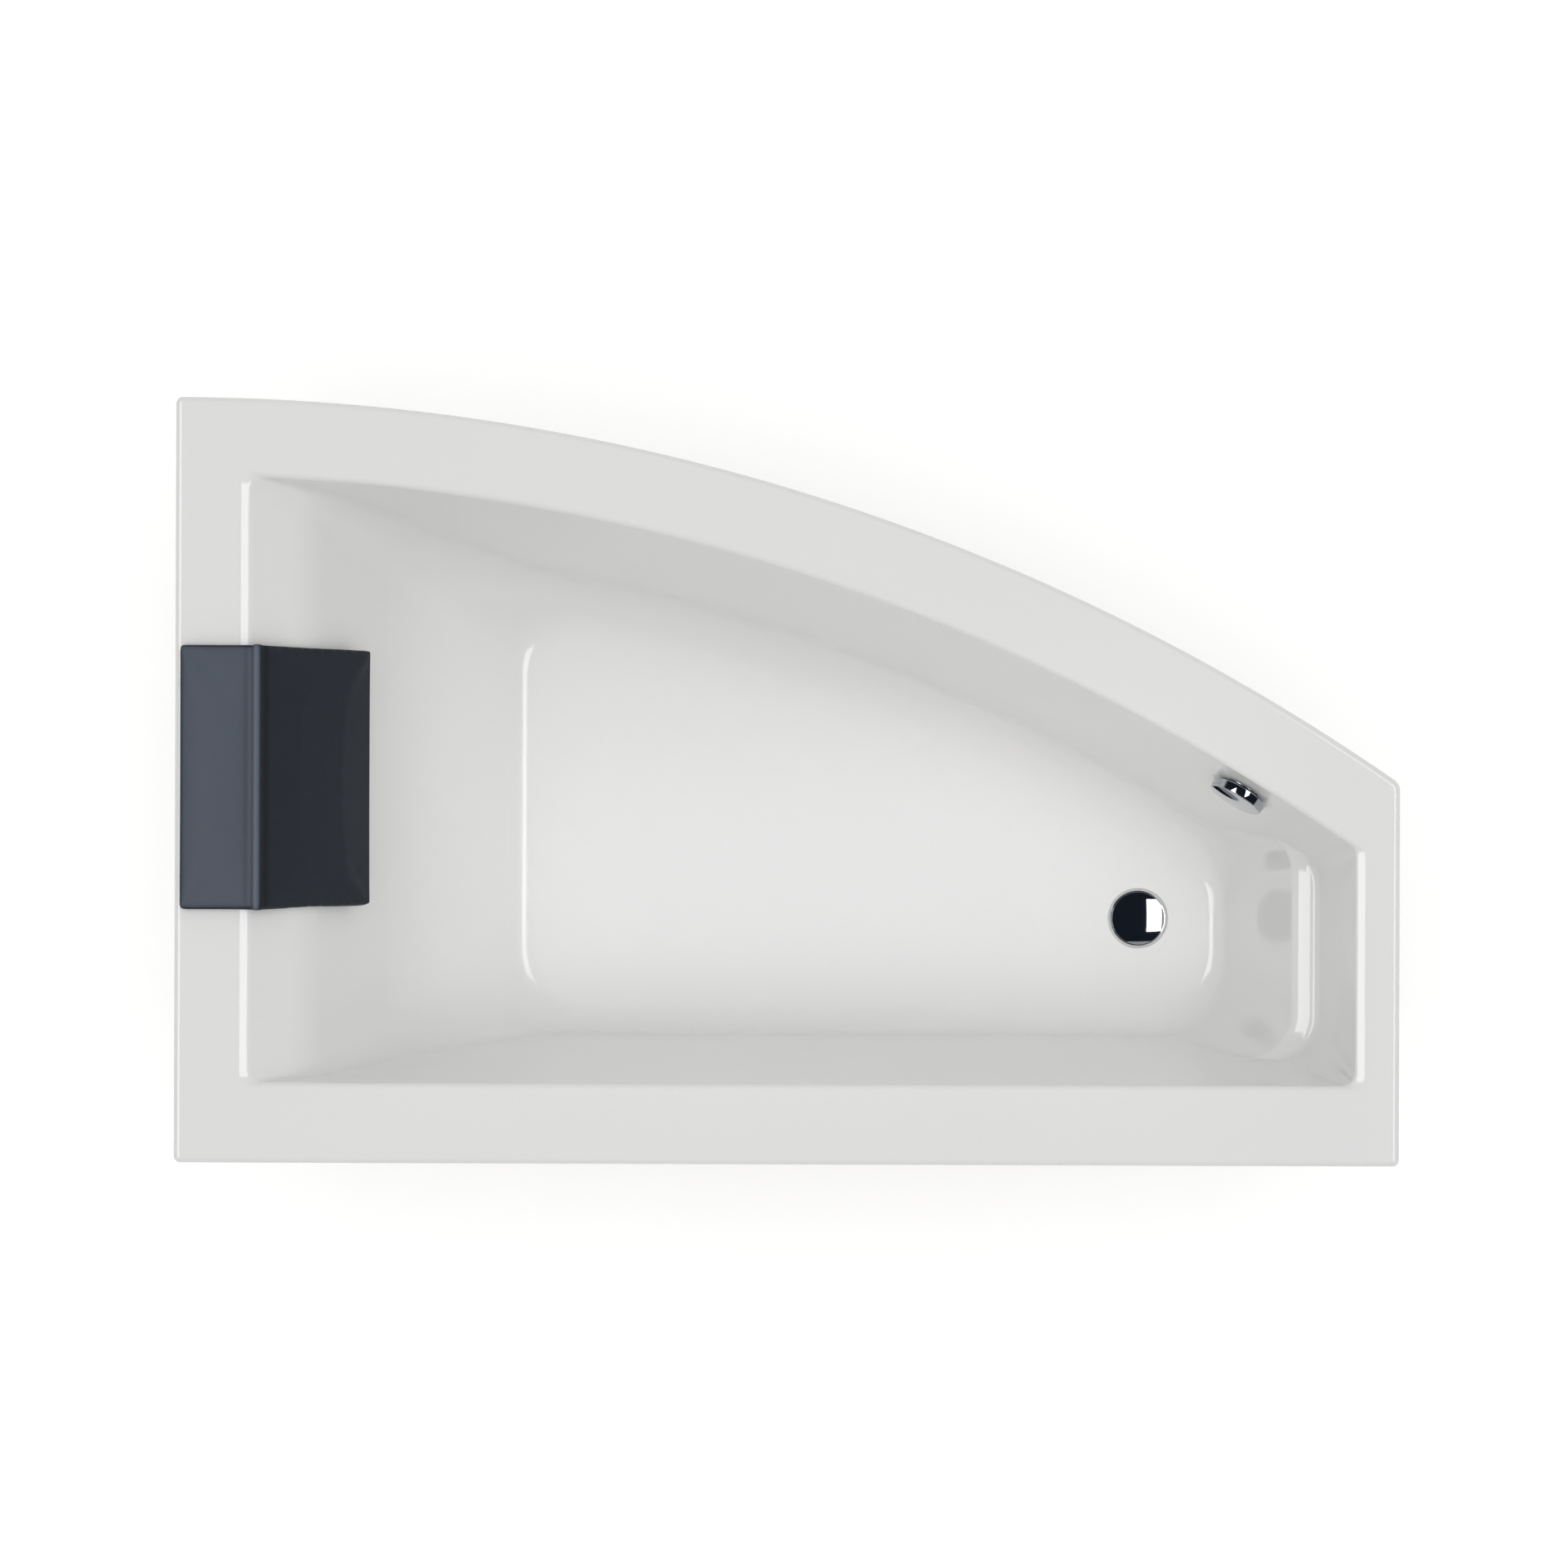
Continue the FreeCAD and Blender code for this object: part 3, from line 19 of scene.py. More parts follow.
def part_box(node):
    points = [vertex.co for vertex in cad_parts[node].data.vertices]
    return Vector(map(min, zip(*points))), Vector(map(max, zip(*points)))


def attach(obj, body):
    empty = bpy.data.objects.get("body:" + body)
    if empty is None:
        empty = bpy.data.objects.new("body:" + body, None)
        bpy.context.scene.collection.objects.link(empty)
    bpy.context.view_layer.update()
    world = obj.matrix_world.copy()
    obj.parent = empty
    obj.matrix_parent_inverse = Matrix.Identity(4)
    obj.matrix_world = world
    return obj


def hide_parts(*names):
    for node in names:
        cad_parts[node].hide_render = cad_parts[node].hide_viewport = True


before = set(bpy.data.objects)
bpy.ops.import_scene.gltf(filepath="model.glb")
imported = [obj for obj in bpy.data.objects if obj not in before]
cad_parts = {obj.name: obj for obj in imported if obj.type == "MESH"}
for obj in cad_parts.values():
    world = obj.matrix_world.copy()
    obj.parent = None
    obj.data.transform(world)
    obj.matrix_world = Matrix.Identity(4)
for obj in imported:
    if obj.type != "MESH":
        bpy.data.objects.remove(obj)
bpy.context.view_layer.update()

logging.basicConfig(level=logging.INFO, format="%(message)s")
LOG = logging.getLogger("bath")

Point = tuple[float, float]
Span = tuple[float, float]
Triple = tuple[float, float, float]
Colour = Triple
Node = bpy.types.Node
Socket = bpy.types.NodeSocket
Material = bpy.types.Material
Mesh = bpy.types.Mesh
Piece = bpy.types.Object

MM = 0.001
TINY = 1e-9
PATCHY: Span = (0.3, 0.7)  # where most values of a noise texture lie


# ---------------------------------------------------------------- sizes

@dataclass(frozen=True)
class BathSizes:
    """Sizes of the shell and its fittings, in millimetres, as the CAD model has them."""

    length: float = 1600.0
    width: float = 1000.0
    foot_width: float = 500.0
    bow_radius: float = 2810.0
    rim_top: float = 580.0
    depth: float = 430.0
    wall: float = 5.0
    skirt: float = 38.0
    edge_round: float = 8.0
    corner_round: float = 9.0
    bow_corner_round: float = 18.0
    head_rim: float = 93.0
    wall_rim: float = 105.0
    bow_rim: float = 102.0
    foot_rim: float = 57.0
    head_lead_slope: float = 47.0
    head_lead_depth: float = 65.0
    head_slope: float = 25.0
    head_back_depth: float = 300.0
    head_low_slope: float = 47.5
    wall_slope: float = 5.0
    bow_slope: float = 9.0
    foot_slope: float = 4.5
    foot_lower_slope: float = 17.5
    step_depth: float = 195.0
    step_drop: float = 12.0
    step_width: float = 33.0
    head_lead_round: float = 180.0
    head_low_round: float = 350.0
    side_top_round: float = 9.0
    head_floor_round: float = 55.0
    wall_floor_round: float = 42.0
    bow_floor_round: float = 80.0
    foot_floor_round: float = 30.0
    foot_crease_round: float = 12.0
    foot_ledge_round: float = 16.0
    plan_corner: float = 15.0
    plan_growth: float = 0.23
    drain_x: float = 507.0
    drain_y: float = -195.0
    drain_hole: float = 26.0
    recess: float = 43.0
    recess_drop: float = 4.0
    boss: float = 52.0
    overflow_x: float = 603.0
    overflow_depth: float = 78.0
    overflow_hole: float = 27.0
    overflow_seat: float = 42.0

    @property
    def bow_hub(self) -> Vector:
        """Centre of the arc that the bowed front follows.

        Returns:
            The centre, in plan.
        """
        lift = self.width - self.foot_width
        chord = math.hypot(self.length, lift)
        half = math.sqrt(self.bow_radius ** 2 - (chord / 2) ** 2)
        middle = Vector((0.0, self.width / 2 - lift / 2, 0.0))
        return middle + Vector((-lift, -self.length, 0.0)) * (half / chord)


BATH = BathSizes()


# ---------------------------------------------------------------- node trees

class Graph:
    """A shader or geometry node tree while it is being wired."""

    def __init__(self, tree: bpy.types.NodeTree) -> None:
        """Starts from an empty tree.

        Args:
            tree: The tree to fill.
        """
        self.tree = tree
        tree.nodes.clear()

    def add(self, kind: str, inputs: dict[Any, Any] | None = None, **settings: Any) -> Node:
        """Adds one node and sets or wires its inputs.

        Args:
            kind: The node's type name.
            inputs: Values or output sockets by input name or number.
            **settings: Properties of the node itself.

        Returns:
            The new node.
        """
        node = self.tree.nodes.new(kind)
        for name, value in settings.items():
            setattr(node, name, value)
        for key, value in (inputs or {}).items():
            if isinstance(value, Socket):
                self.tree.links.new(value, node.inputs[key])
            else:
                node.inputs[key].default_value = value
        return node

    def noise(self, where: Socket, scale: float, detail: float = 3.0) -> Node:
        """Adds a noise texture over the given coordinates and returns its node."""
        return self.add("ShaderNodeTexNoise", {"Vector": where, "Scale": scale, "Detail": detail})

    def cells(self, where: Socket, scale: float, feature: str = "F1") -> Node:
        """Adds a pattern of random cells over the given coordinates and returns its node."""
        return self.add("ShaderNodeTexVoronoi", {"Vector": where, "Scale": scale}, feature=feature)

    def tint(self, cells: Node) -> Socket:
        """Returns a random value that is the same all over each cell."""
        return self.add("ShaderNodeSeparateColor", {0: cells.outputs["Color"]}).outputs[0]

    def mapped(self, where: Socket, **inputs: Any) -> Socket:
        """Turns or stretches coordinates and returns the new ones."""
        return self.add("ShaderNodeMapping", {"Vector": where, **inputs}).outputs[0]

    def part(self, vector: Socket, axis: str) -> Socket:
        """Returns one part, X, Y or Z, of a vector."""
        return self.add("ShaderNodeSeparateXYZ", {0: vector}).outputs[axis]

    def span(self, value: Socket, low: float, high: float, start: float = 0.0, end: float = 1.0) -> Socket:
        """Maps a value from low..high to start..end, held within those limits."""
        sizes = {"Value": value, "From Min": low, "From Max": high, "To Min": start, "To Max": end}
        return self.add("ShaderNodeMapRange", sizes, clamp=True).outputs["Result"]

    def blend(self, share: Socket, one: Colour | Socket, other: Colour) -> Socket:
        """Mixes two colours.

        Args:
            share: How much of the second colour there is, 0 to 1.
            one: The first colour, or a socket that gives it.
            other: The second colour.

        Returns:
            The mixed colour.
        """
        node = self.add("ShaderNodeMix", {"Factor": share}, data_type="RGBA")
        for slot, colour in ((6, one), (7, other)):
            if isinstance(colour, tuple):
                node.inputs[slot].default_value = (*colour, 1.0)
            else:
                self.tree.links.new(colour, node.inputs[slot])
        return node.outputs[2]

    def math(self, operation: str, one: Any, other: Any = 0.0) -> Socket:
        """Adds a math node with two operands and returns its result."""
        return self.add("ShaderNodeMath", {0: one, 1: other}, operation=operation).outputs[0]

    def vector(self, operation: str, one: Any, other: Any) -> Socket:
        """Adds a vector math node with two operands and returns its result."""
        return self.add("ShaderNodeVectorMath", {0: one, 1: other}, operation=operation).outputs[0]

    def bump(self, height: Socket, strength: float, distance: float) -> Socket:
        """Turns a height into a bumped normal."""
        sizes = {"Height": height, "Strength": strength, "Distance": distance}
        return self.add("ShaderNodeBump", sizes).outputs["Normal"]


def new_material(name: str) -> tuple[Material, Graph, Socket]:
    """Starts a material.

    Args:
        name: The material's name.

    Returns:
        The material, its graph and the object coordinates.
    """
    material = bpy.data.materials.new(name)
    material.use_nodes = True
    graph = Graph(material.node_tree)
    where = graph.add("ShaderNodeTexCoord").outputs["Object"]
    return material, graph, where


def finish_surface(graph: Graph, **inputs: Any) -> None:
    """Ends a material in one principled shader.

    Args:
        graph: The material's graph.
        **inputs: The shader's inputs by name, with underscores for spaces.
    """
    shader = graph.add("ShaderNodeBsdfPrincipled", {k.replace("_", " "): v for k, v in inputs.items()})
    graph.add("ShaderNodeOutputMaterial", {"Surface": shader.outputs["BSDF"]})


# ---------------------------------------------------------------- finishes

@dataclass(frozen=True)
class AcrylicFinish:
    """Cast white acrylic sheet as it leaves the mould: glossy, with a trace of orange peel."""

    name: str = "white_acrylic"
    colour: Colour = (0.925, 0.924, 0.915)
    shade: Colour = (0.912, 0.912, 0.905)
    roughness: float = 0.055
    refraction: float = 1.49
    patch_scale: float = 2.3
    peel_scale: float = 260.0
    peel_strength: float = 0.03
    peel_depth: float = 0.0004

    def make(self) -> Material:
        """Builds the material.

        Returns:
            The material.
        """
        material, graph, where = new_material(self.name)
        patches = graph.noise(where, self.patch_scale, 2.0).outputs[0]
        peel = graph.noise(where, self.peel_scale, 2.0).outputs[0]
        colour = graph.blend(graph.span(patches, 0.35, 0.7), self.colour, self.shade)
        gloss = graph.span(patches, *PATCHY, self.roughness - 0.02, self.roughness + 0.03)
        normal = graph.bump(peel, self.peel_strength, self.peel_depth)
        finish_surface(graph, Base_Color=colour, Roughness=gloss, IOR=self.refraction, Normal=normal)
        return material


@dataclass(frozen=True)
class LaminateFinish:
    """Sprayed glass-fibre laminate on the hidden side of the shell: chopped strands in resin."""

    name: str = "glass_fibre_laminate"
    resin: Colour = (0.66, 0.64, 0.56)
    strand: Colour = (0.80, 0.79, 0.74)
    roughness: float = 0.42
    bundle_layers: tuple[Point, ...] = ((26.0, 0.0), (43.0, 3.7), (68.0, 9.1))
    whole_turn: float = 6.3
    strand_stretch: Triple = (38.0, 440.0, 440.0)
    strand_span: Span = (0.55, 0.68)
    lump_scale: float = 55.0
    relief_strength: float = 0.55
    relief_depth: float = 0.0012

    def make(self) -> Material:
        """Builds the material from three layers of short bundles, each bundle turned its own way.

        Returns:
            The material.
        """
        material, graph, where = new_material(self.name)
        strands = None
        for scale, offset in self.bundle_layers:
            spot = graph.vector("ADD", where, (offset,) * 3)
            bundle = graph.cells(spot, scale)
            turn = graph.vector("MULTIPLY", bundle.outputs["Color"], (self.whole_turn,) * 3)
            drawn = graph.mapped(graph.mapped(spot, Rotation=turn), Scale=self.strand_stretch)
            layer = graph.span(graph.noise(drawn, 1.0, 1.0).outputs[0], *self.strand_span)
            strands = layer if strands is None else graph.math("MAXIMUM", strands, layer)
        lumps = graph.noise(where, self.lump_scale).outputs[0]
        colour = graph.blend(strands, self.resin, self.strand)
        height = graph.math("ADD", graph.math("MULTIPLY", strands, 0.35), lumps)
        normal = graph.bump(height, self.relief_strength, self.relief_depth)
        gloss = graph.span(lumps, *PATCHY, self.roughness - 0.1, self.roughness + 0.12)
        finish_surface(graph, Base_Color=colour, Roughness=gloss, Normal=normal)
        return material


@dataclass(frozen=True)
class ChipboardFinish:
    """Pressed wood chips under a thin coat of resin."""

    name: str = "chipboard"
    light: Colour = (0.66, 0.49, 0.29)
    dark: Colour = (0.24, 0.14, 0.065)
    roughness: float = 0.5
    squeeze: Triple = (1.0, 1.3, 3.0)
    chip_scale: float = 210.0
    flake_scale: float = 62.0
    fibre_scale: float = 700.0
    relief_strength: float = 0.3
    relief_depth: float = 0.0006

    def make(self) -> Material:
        """Builds the material from flat chips of random tint.

        Returns:
            The material.
        """
        material, graph, where = new_material(self.name)
        squeezed = graph.mapped(where, Scale=self.squeeze)
        chips = graph.cells(squeezed, self.chip_scale)
        small = graph.math("MULTIPLY", graph.tint(chips), 0.55)
        large = graph.math("MULTIPLY", graph.tint(graph.cells(squeezed, self.flake_scale)), 0.35)
        fibre = graph.math("MULTIPLY", graph.noise(squeezed, self.fibre_scale, 2.0).outputs[0], 0.25)
        mixed = graph.math("ADD", graph.math("ADD", small, large), fibre)
        colour = graph.blend(mixed, self.dark, self.light)
        normal = graph.bump(chips.outputs["Distance"], self.relief_strength, self.relief_depth)
        finish_surface(graph, Base_Color=colour, Roughness=self.roughness, Normal=normal)
        return material


@dataclass(frozen=True)
class MetalFinish:
    """A metal surface, from mirror chrome to dull zinc."""

    name: str
    colour: Colour
    shade: Colour
    roughness: float
    grain: float = 90.0
    relief_strength: float = 0.0
    relief_depth: float = 0.0003
    smear_scale: float = 30.0
    gloss_shares: Span = (0.8, 1.3)

    def make(self) -> Material:
        """Builds the material, with a patchy tone where the metal has a grain.

        Returns:
            The material.
        """
        material, graph, where = new_material(self.name)
        tint = graph.tint(graph.cells(where, self.grain))
        smear = graph.noise(where, self.smear_scale, 4.0).outputs[0]
        colour = graph.blend(graph.math("MULTIPLY", tint, smear), self.colour, self.shade)
        least, most = (self.roughness * share for share in self.gloss_shares)
        gloss = graph.span(smear, *PATCHY, least, most)
        normal = graph.bump(smear, self.relief_strength, self.relief_depth)
        finish_surface(graph, Base_Color=colour, Metallic=1.0, Roughness=gloss, Normal=normal)
        return material


@dataclass(frozen=True)
class MouldedFinish:
    """Moulded plastic or rubber with the fine texture of its mould."""

    name: str
    colour: Colour
    shade: Colour
    roughness: float
    grain: float = 900.0
    grain_strength: float = 0.12
    grain_depth: float = 0.0004
    patch_scale: float = 14.0

    def make(self) -> Material:
        """Builds the material.

        Returns:
            The material.
        """
        material, graph, where = new_material(self.name)
        patches = graph.noise(where, self.patch_scale).outputs[0]
        fine = graph.noise(where, self.grain, 2.0).outputs[0]
        colour = graph.blend(graph.span(patches, *PATCHY), self.colour, self.shade)
        gloss = graph.span(patches, *PATCHY, self.roughness - 0.05, self.roughness + 0.06)
        normal = graph.bump(fine, self.grain_strength, self.grain_depth)
        finish_surface(graph, Base_Color=colour, Roughness=gloss, Normal=normal)
        return material


@dataclass(frozen=True)
class PadFinish:
    """Soft slate-blue skin of foamed polyurethane with a fine leather grain; painted light makes it paler
    where it faces up and darker on its slope, and puts a painted highlight on the welt.
    """

    name: str = "slate_pad_skin"
    # Painted light: upper is the skin as if lit from above, lower is painted shade on faces that turn away
    # from that light.
    upper: Colour = (0.080, 0.098, 0.130)
    lower: Colour = (0.016, 0.021, 0.032)
    # Painted highlight along the welt's crest, and painted shadow in the seam just past it.
    piping_highlight: Colour = (0.150, 0.176, 0.222)
    piping_highlight_span: Span = (-0.6965, -0.6850)
    seam_shadow: Colour = (0.006, 0.008, 0.012)
    shadow_span: Span = (-0.6845, -0.6740)
    painted_light_span: Span = (0.78, 1.02)
    band_strength: float = 0.75
    band_facing_span: Span = (0.3, 0.6)
    roughness: float = 0.52
    sheen_level: float = 0.32
    warp_scale: float = 160.0
    warp_reach: float = 0.004
    wrinkle_scale: float = 620.0
    wrinkle_width: float = 0.16
    pore_scale: float = 2400.0
    patch_scale: float = 11.0
    relief_strength: float = 0.25
    relief_depth: float = 0.00035

    def make(self) -> Material:
        """Builds the material from wrinkle cells with fine pores between them, with painted light and shade
        set by which way the surface faces.

        Returns:
            The material.
        """
        material, graph, where = new_material(self.name)
        warp = graph.noise(where, self.warp_scale, 2.0).outputs["Color"]
        moved = graph.vector("ADD", where, graph.vector("MULTIPLY", warp, (self.warp_reach,) * 3))
        cells = graph.cells(moved, self.wrinkle_scale, "DISTANCE_TO_EDGE")
        pores = graph.noise(where, self.pore_scale, 2.0).outputs[0]
        creases = graph.span(cells.outputs["Distance"], 0.0, self.wrinkle_width)
        patches = graph.noise(where, self.patch_scale).outputs[0]
        rising = graph.part(graph.add("ShaderNodeNewGeometry").outputs["Normal"], "Z")
        # Painted light and shade: the colour turns from the shaded tone to the lit tone as the surface
        # faces up, plus a little random mottle.
        facing_light_and_mottle = graph.math("ADD", rising, graph.math("MULTIPLY", patches, 0.04))
        colour = graph.blend(graph.span(facing_light_and_mottle, *self.painted_light_span), self.lower, self.upper)
        along = graph.part(where, "X")
        # Painted highlight on the welt and painted shadow in the seam after it, only where the surface
        # faces up.
        for span, tone in ((self.piping_highlight_span, self.piping_highlight), (self.shadow_span, self.seam_shadow)):
            colour = graph.blend(self._band(graph, along, span, rising), colour, tone)
        height = graph.math("ADD", creases, graph.math("MULTIPLY", pores, 0.3))
        normal = graph.bump(height, self.relief_strength, self.relief_depth)
        gloss = graph.span(creases, 0.0, 1.0, self.roughness + 0.12, self.roughness)
        finish_surface(graph, Base_Color=colour, Roughness=gloss,
                       Specular_IOR_Level=self.sheen_level, Normal=normal)
        return material

    def _band(self, graph: Graph, along: Socket, span: Span, rising: Socket) -> Socket:
        """Soft band of painted highlight or painted shadow across the pad's upper face, strongest in its
        middle.

        Args:
            graph: The material's graph.
            along: Distance along the bath.
            span: Where the band starts and ends.
            rising: How much the surface faces up.

        Returns:
            The band's strength, 0 to 1.
        """
        middle = (span[0] + span[1]) / 2
        start = graph.span(along, span[0], middle)
        end = graph.span(along, span[1], middle)
        both = graph.math("MULTIPLY", graph.math("MINIMUM", start, end), self.band_strength)
        return graph.math("MULTIPLY", both, graph.span(rising, *self.band_facing_span))


class Finish(Enum):
    """The finishes that the bath is made in."""

    ACRYLIC = AcrylicFinish()
    LAMINATE = LaminateFinish()
    CHIPBOARD = ChipboardFinish()
    CHROME = MetalFinish("polished_chrome", (0.55, 0.57, 0.60), (0.52, 0.54, 0.57), 0.035)
    ZINC = MetalFinish("galvanised_steel", (0.60, 0.61, 0.62), (0.44, 0.46, 0.48), 0.34, 130.0, 0.15)
    WHITE_PLASTIC = MouldedFinish("white_waste_plastic", (0.72, 0.72, 0.69), (0.66, 0.66, 0.63), 0.36)
    GREY_PLASTIC = MouldedFinish("grey_hose_plastic", (0.42, 0.43, 0.44), (0.35, 0.36, 0.37), 0.4)
    BLACK_PLASTIC = MouldedFinish("black_moulded_plastic", (0.028, 0.028, 0.030), (0.018, 0.018, 0.019),
                                  0.45)
    RUBBER = MouldedFinish("black_seal_rubber", (0.020, 0.020, 0.021), (0.030, 0.030, 0.030), 0.62,
                           1400.0, 0.2)
    PAD = PadFinish()

    def material(self) -> Material:
        """Returns the finish's material, made on its first use."""
        return bpy.data.materials.get(self.value.name) or self.value.make()


# ---------------------------------------------------------------- meshes

def linked(name: str, data: bpy.types.ID) -> Piece:
    """Puts data into the scene as a new object.

    Args:
        name: The object's name.
        data: Its mesh, curve, light or camera.

    Returns:
        The object.
    """
    thing = bpy.data.objects.new(name, data)
    bpy.context.scene.collection.objects.link(thing)
    return thing


def evaluated(thing: Piece) -> Mesh:
    """Returns a new plain mesh of what an object's modifiers or its curve make."""
    graph = bpy.context.evaluated_depsgraph_get()
    return bpy.data.meshes.new_from_object(thing.evaluated_get(graph), depsgraph=graph)


def shade(mesh: Mesh, sharp: float | None) -> None:
    """Shades a mesh smooth.

    Args:
        mesh: The mesh.
        sharp: Angle in degrees above which an edge stays crisp, or None for smooth all over.
    """
    mesh.shade_smooth()
    if sharp is not None:
        mesh.set_sharp_from_angle(angle=math.radians(sharp))


def mesh_object(name: str, mesh: Mesh, *finishes: Finish, sharp: float | None = 40.0) -> Piece:
    """Puts a mesh into the scene as a smooth-shaded object.

    Args:
        name: The object's name.
        mesh: Its mesh, in metres, in place.
        *finishes: The finishes of its material slots, in order.
        sharp: Angle in degrees above which an edge stays crisp, or None for smooth all over.

    Returns:
        The new object.
    """
    mesh.name = name
    mesh.materials.clear()
    for finish in finishes:
        mesh.materials.append(finish.material())
    shade(mesh, sharp)
    return linked(name, mesh)


def tidy_mesh(mesh: Mesh, merge: float = 1e-7) -> None:
    """Merges doubled points and turns the faces of a closed mesh outwards.

    Args:
        mesh: The mesh.
        merge: Distance in metres within which points are doubles.
    """
    work = bmesh.new()
    work.from_mesh(mesh)
    bmesh.ops.remove_doubles(work, verts=work.verts, dist=merge)
    bmesh.ops.recalc_face_normals(work, faces=work.faces)
    work.to_mesh(mesh)
    work.free()


def mesh_from(vertices: Sequence[Sequence[float]], faces: Sequence[Sequence[int]]) -> Mesh:
    """Makes a closed mesh, its doubles merged and its faces turned outwards.

    Args:
        vertices: Its points in millimetres.
        faces: The point numbers of each face.

    Returns:
        The mesh, in metres.
    """
    mesh = bpy.data.meshes.new("mesh")
    mesh.from_pydata([tuple(c * MM for c in v) for v in vertices], [], [tuple(f) for f in faces])
    tidy_mesh(mesh)
    return mesh


def block(size: Sequence[float], centre: Sequence[float], bevel: float = 0.0) -> Mesh:
    """Makes a box.

    Args:
        size: Its size in millimetres.
        centre: Its centre in millimetres.
        bevel: Width in millimetres taken off its edges.

    Returns:
        The mesh, in metres.
    """
    work = bmesh.new()
    bmesh.ops.create_cube(work, size=1.0)
    bmesh.ops.scale(work, vec=[c * MM for c in size], verts=work.verts)
    bmesh.ops.translate(work, vec=[c * MM for c in centre], verts=work.verts)
    if bevel > 0.0:
        bmesh.ops.bevel(work, geom=work.edges[:], offset=bevel * MM, segments=2, affect="EDGES")
    mesh = bpy.data.meshes.new("block")
    work.to_mesh(mesh)
    work.free()
    return mesh


def rounded(corners: Sequence[Triple], steps: int = 5) -> list[Point]:
    """Rounds the corners of an outline.

    Args:
        corners: Radius, height and rounding of each corner.
        steps: Number of steps in each rounding.

    Returns:
        The outline's points.
    """
    points: list[Point] = []
    count = len(corners)
    for k, (x, y, r) in enumerate(corners):
        before, after = corners[k - 1], corners[(k + 1) % count]
        a = Vector((before[0] - x, before[1] - y))
        b = Vector((after[0] - x, after[1] - y))
        if r <= 0.0 or a.length < TINY or b.length < TINY:
            points.append((x, y))
            continue
        a, b = a.normalized(), b.normalized()
        half = a.angle(b) / 2
        reach = r / math.tan(half)
        centre = Vector((x, y)) + (a + b).normalized() * (r / math.sin(half))
        start = Vector((x, y)) + a * reach - centre
        end = Vector((x, y)) + b * reach - centre
        turn = math.atan2(start.x * end.y - start.y * end.x, start.dot(end))
        for n in range(steps + 1):
            c, s = math.cos(turn * n / steps), math.sin(turn * n / steps)
            points.append((centre.x + start.x * c - start.y * s, centre.y + start.x * s + start.y * c))
    return points


def dome(radius: float, base: float, rise: float, steps: int) -> list[Point]:
    """Points of a shallow dome.

    Args:
        radius: Radius of its edge.
        base: Height of its edge.
        rise: How far its middle stands above the edge.
        steps: Number of steps from the edge to the middle.

    Returns:
        The points, from the edge up to the axis.
    """
    ball = (radius ** 2 + rise ** 2) / (2 * rise)
    full = math.asin(radius / ball)
    turns = [full * (1 - k / steps) for k in range(steps + 1)]
    points = [(ball * math.sin(t), base + rise - ball + ball * math.cos(t)) for t in turns]
    points[-1] = (0.0, points[-1][1])
    return points


def turned(outline: Sequence[Point], segments: int = 96) -> Mesh:
    """Turns a closed outline of radius and height about the upright axis.

    Args:
        outline: Its points in millimetres, none of them left of the axis.
        segments: Number of steps round the axis.

    Returns:
        The closed mesh, with single points where the outline meets the axis.
    """
    vertices: list[Triple] = []
    rings: list[list[int]] = []
    for radius, height in outline:
        if radius < 1e-6:
            rings.append([len(vertices)] * segments)
            vertices.append((0.0, 0.0, height))
            continue
        rings.append(list(range(len(vertices), len(vertices) + segments)))
        for k in range(segments):
            turn = 2 * math.pi * k / segments
            vertices.append((radius * math.cos(turn), radius * math.sin(turn), height))
    faces = []
    for k, ring in enumerate(rings):
        other = rings[(k + 1) % len(rings)]
        for n in range(segments):
            m = (n + 1) % segments
            face = list(dict.fromkeys((ring[n], ring[m], other[m], other[n])))
            if len(face) > 2:
                faces.append(face)
    return mesh_from(vertices, faces)


def plain_disc(radius: float, low: float, high: float, segments: int) -> Mesh:
    """Returns an upright cylinder about the axis, sizes in millimetres."""
    return turned([(0, low), (radius, low), (radius, high), (0, high)], segments)


def joined(meshes: Sequence[Mesh]) -> Mesh:
    """Joins meshes into one and removes the originals.

    Args:
        meshes: The meshes.

    Returns:
        The joined mesh.
    """
    work = bmesh.new()
    for mesh in meshes:
        work.from_mesh(mesh)
        bpy.data.meshes.remove(mesh)
    result = bpy.data.meshes.new("mesh")
    work.to_mesh(result)
    work.free()
    return result


def placed(mesh: Mesh, place: Matrix) -> Mesh:
    """Moves a mesh and returns it."""
    mesh.transform(place)
    mesh.update()
    return mesh


def shift(x: float = 0.0, y: float = 0.0, z: float = 0.0) -> Matrix:
    """Returns a move by a distance in millimetres."""
    return Matrix.Translation((x * MM, y * MM, z * MM))


def spin(angle: float) -> Matrix:
    """Returns a turn about the upright axis by an angle in radians."""
    return Matrix.Rotation(angle, 4, "Z")


def settle(piece: Piece) -> None:
    """Replaces a piece's mesh by what its modifiers make of it, and removes them.

    Args:
        piece: The object that is changed.
    """
    result = evaluated(piece)
    old = piece.data
    piece.modifiers.clear()
    piece.data = result
    bpy.data.meshes.remove(old)


def cut(piece: Piece, tool: Mesh, operation: str = "DIFFERENCE") -> None:
    """Applies a boolean with a tool mesh to a piece.

    Args:
        piece: The object that is changed.
        tool: The mesh taken from it or added to it.
        operation: DIFFERENCE or UNION.
    """
    helper = linked("tool", tool)
    modifier = piece.modifiers.new("cut", "BOOLEAN")
    modifier.operation = operation
    modifier.solver = "EXACT"
    modifier.object = helper
    settle(piece)
    bpy.data.objects.remove(helper)
    bpy.data.meshes.remove(tool)


# ---------------------------------------------------------------- the tub shell

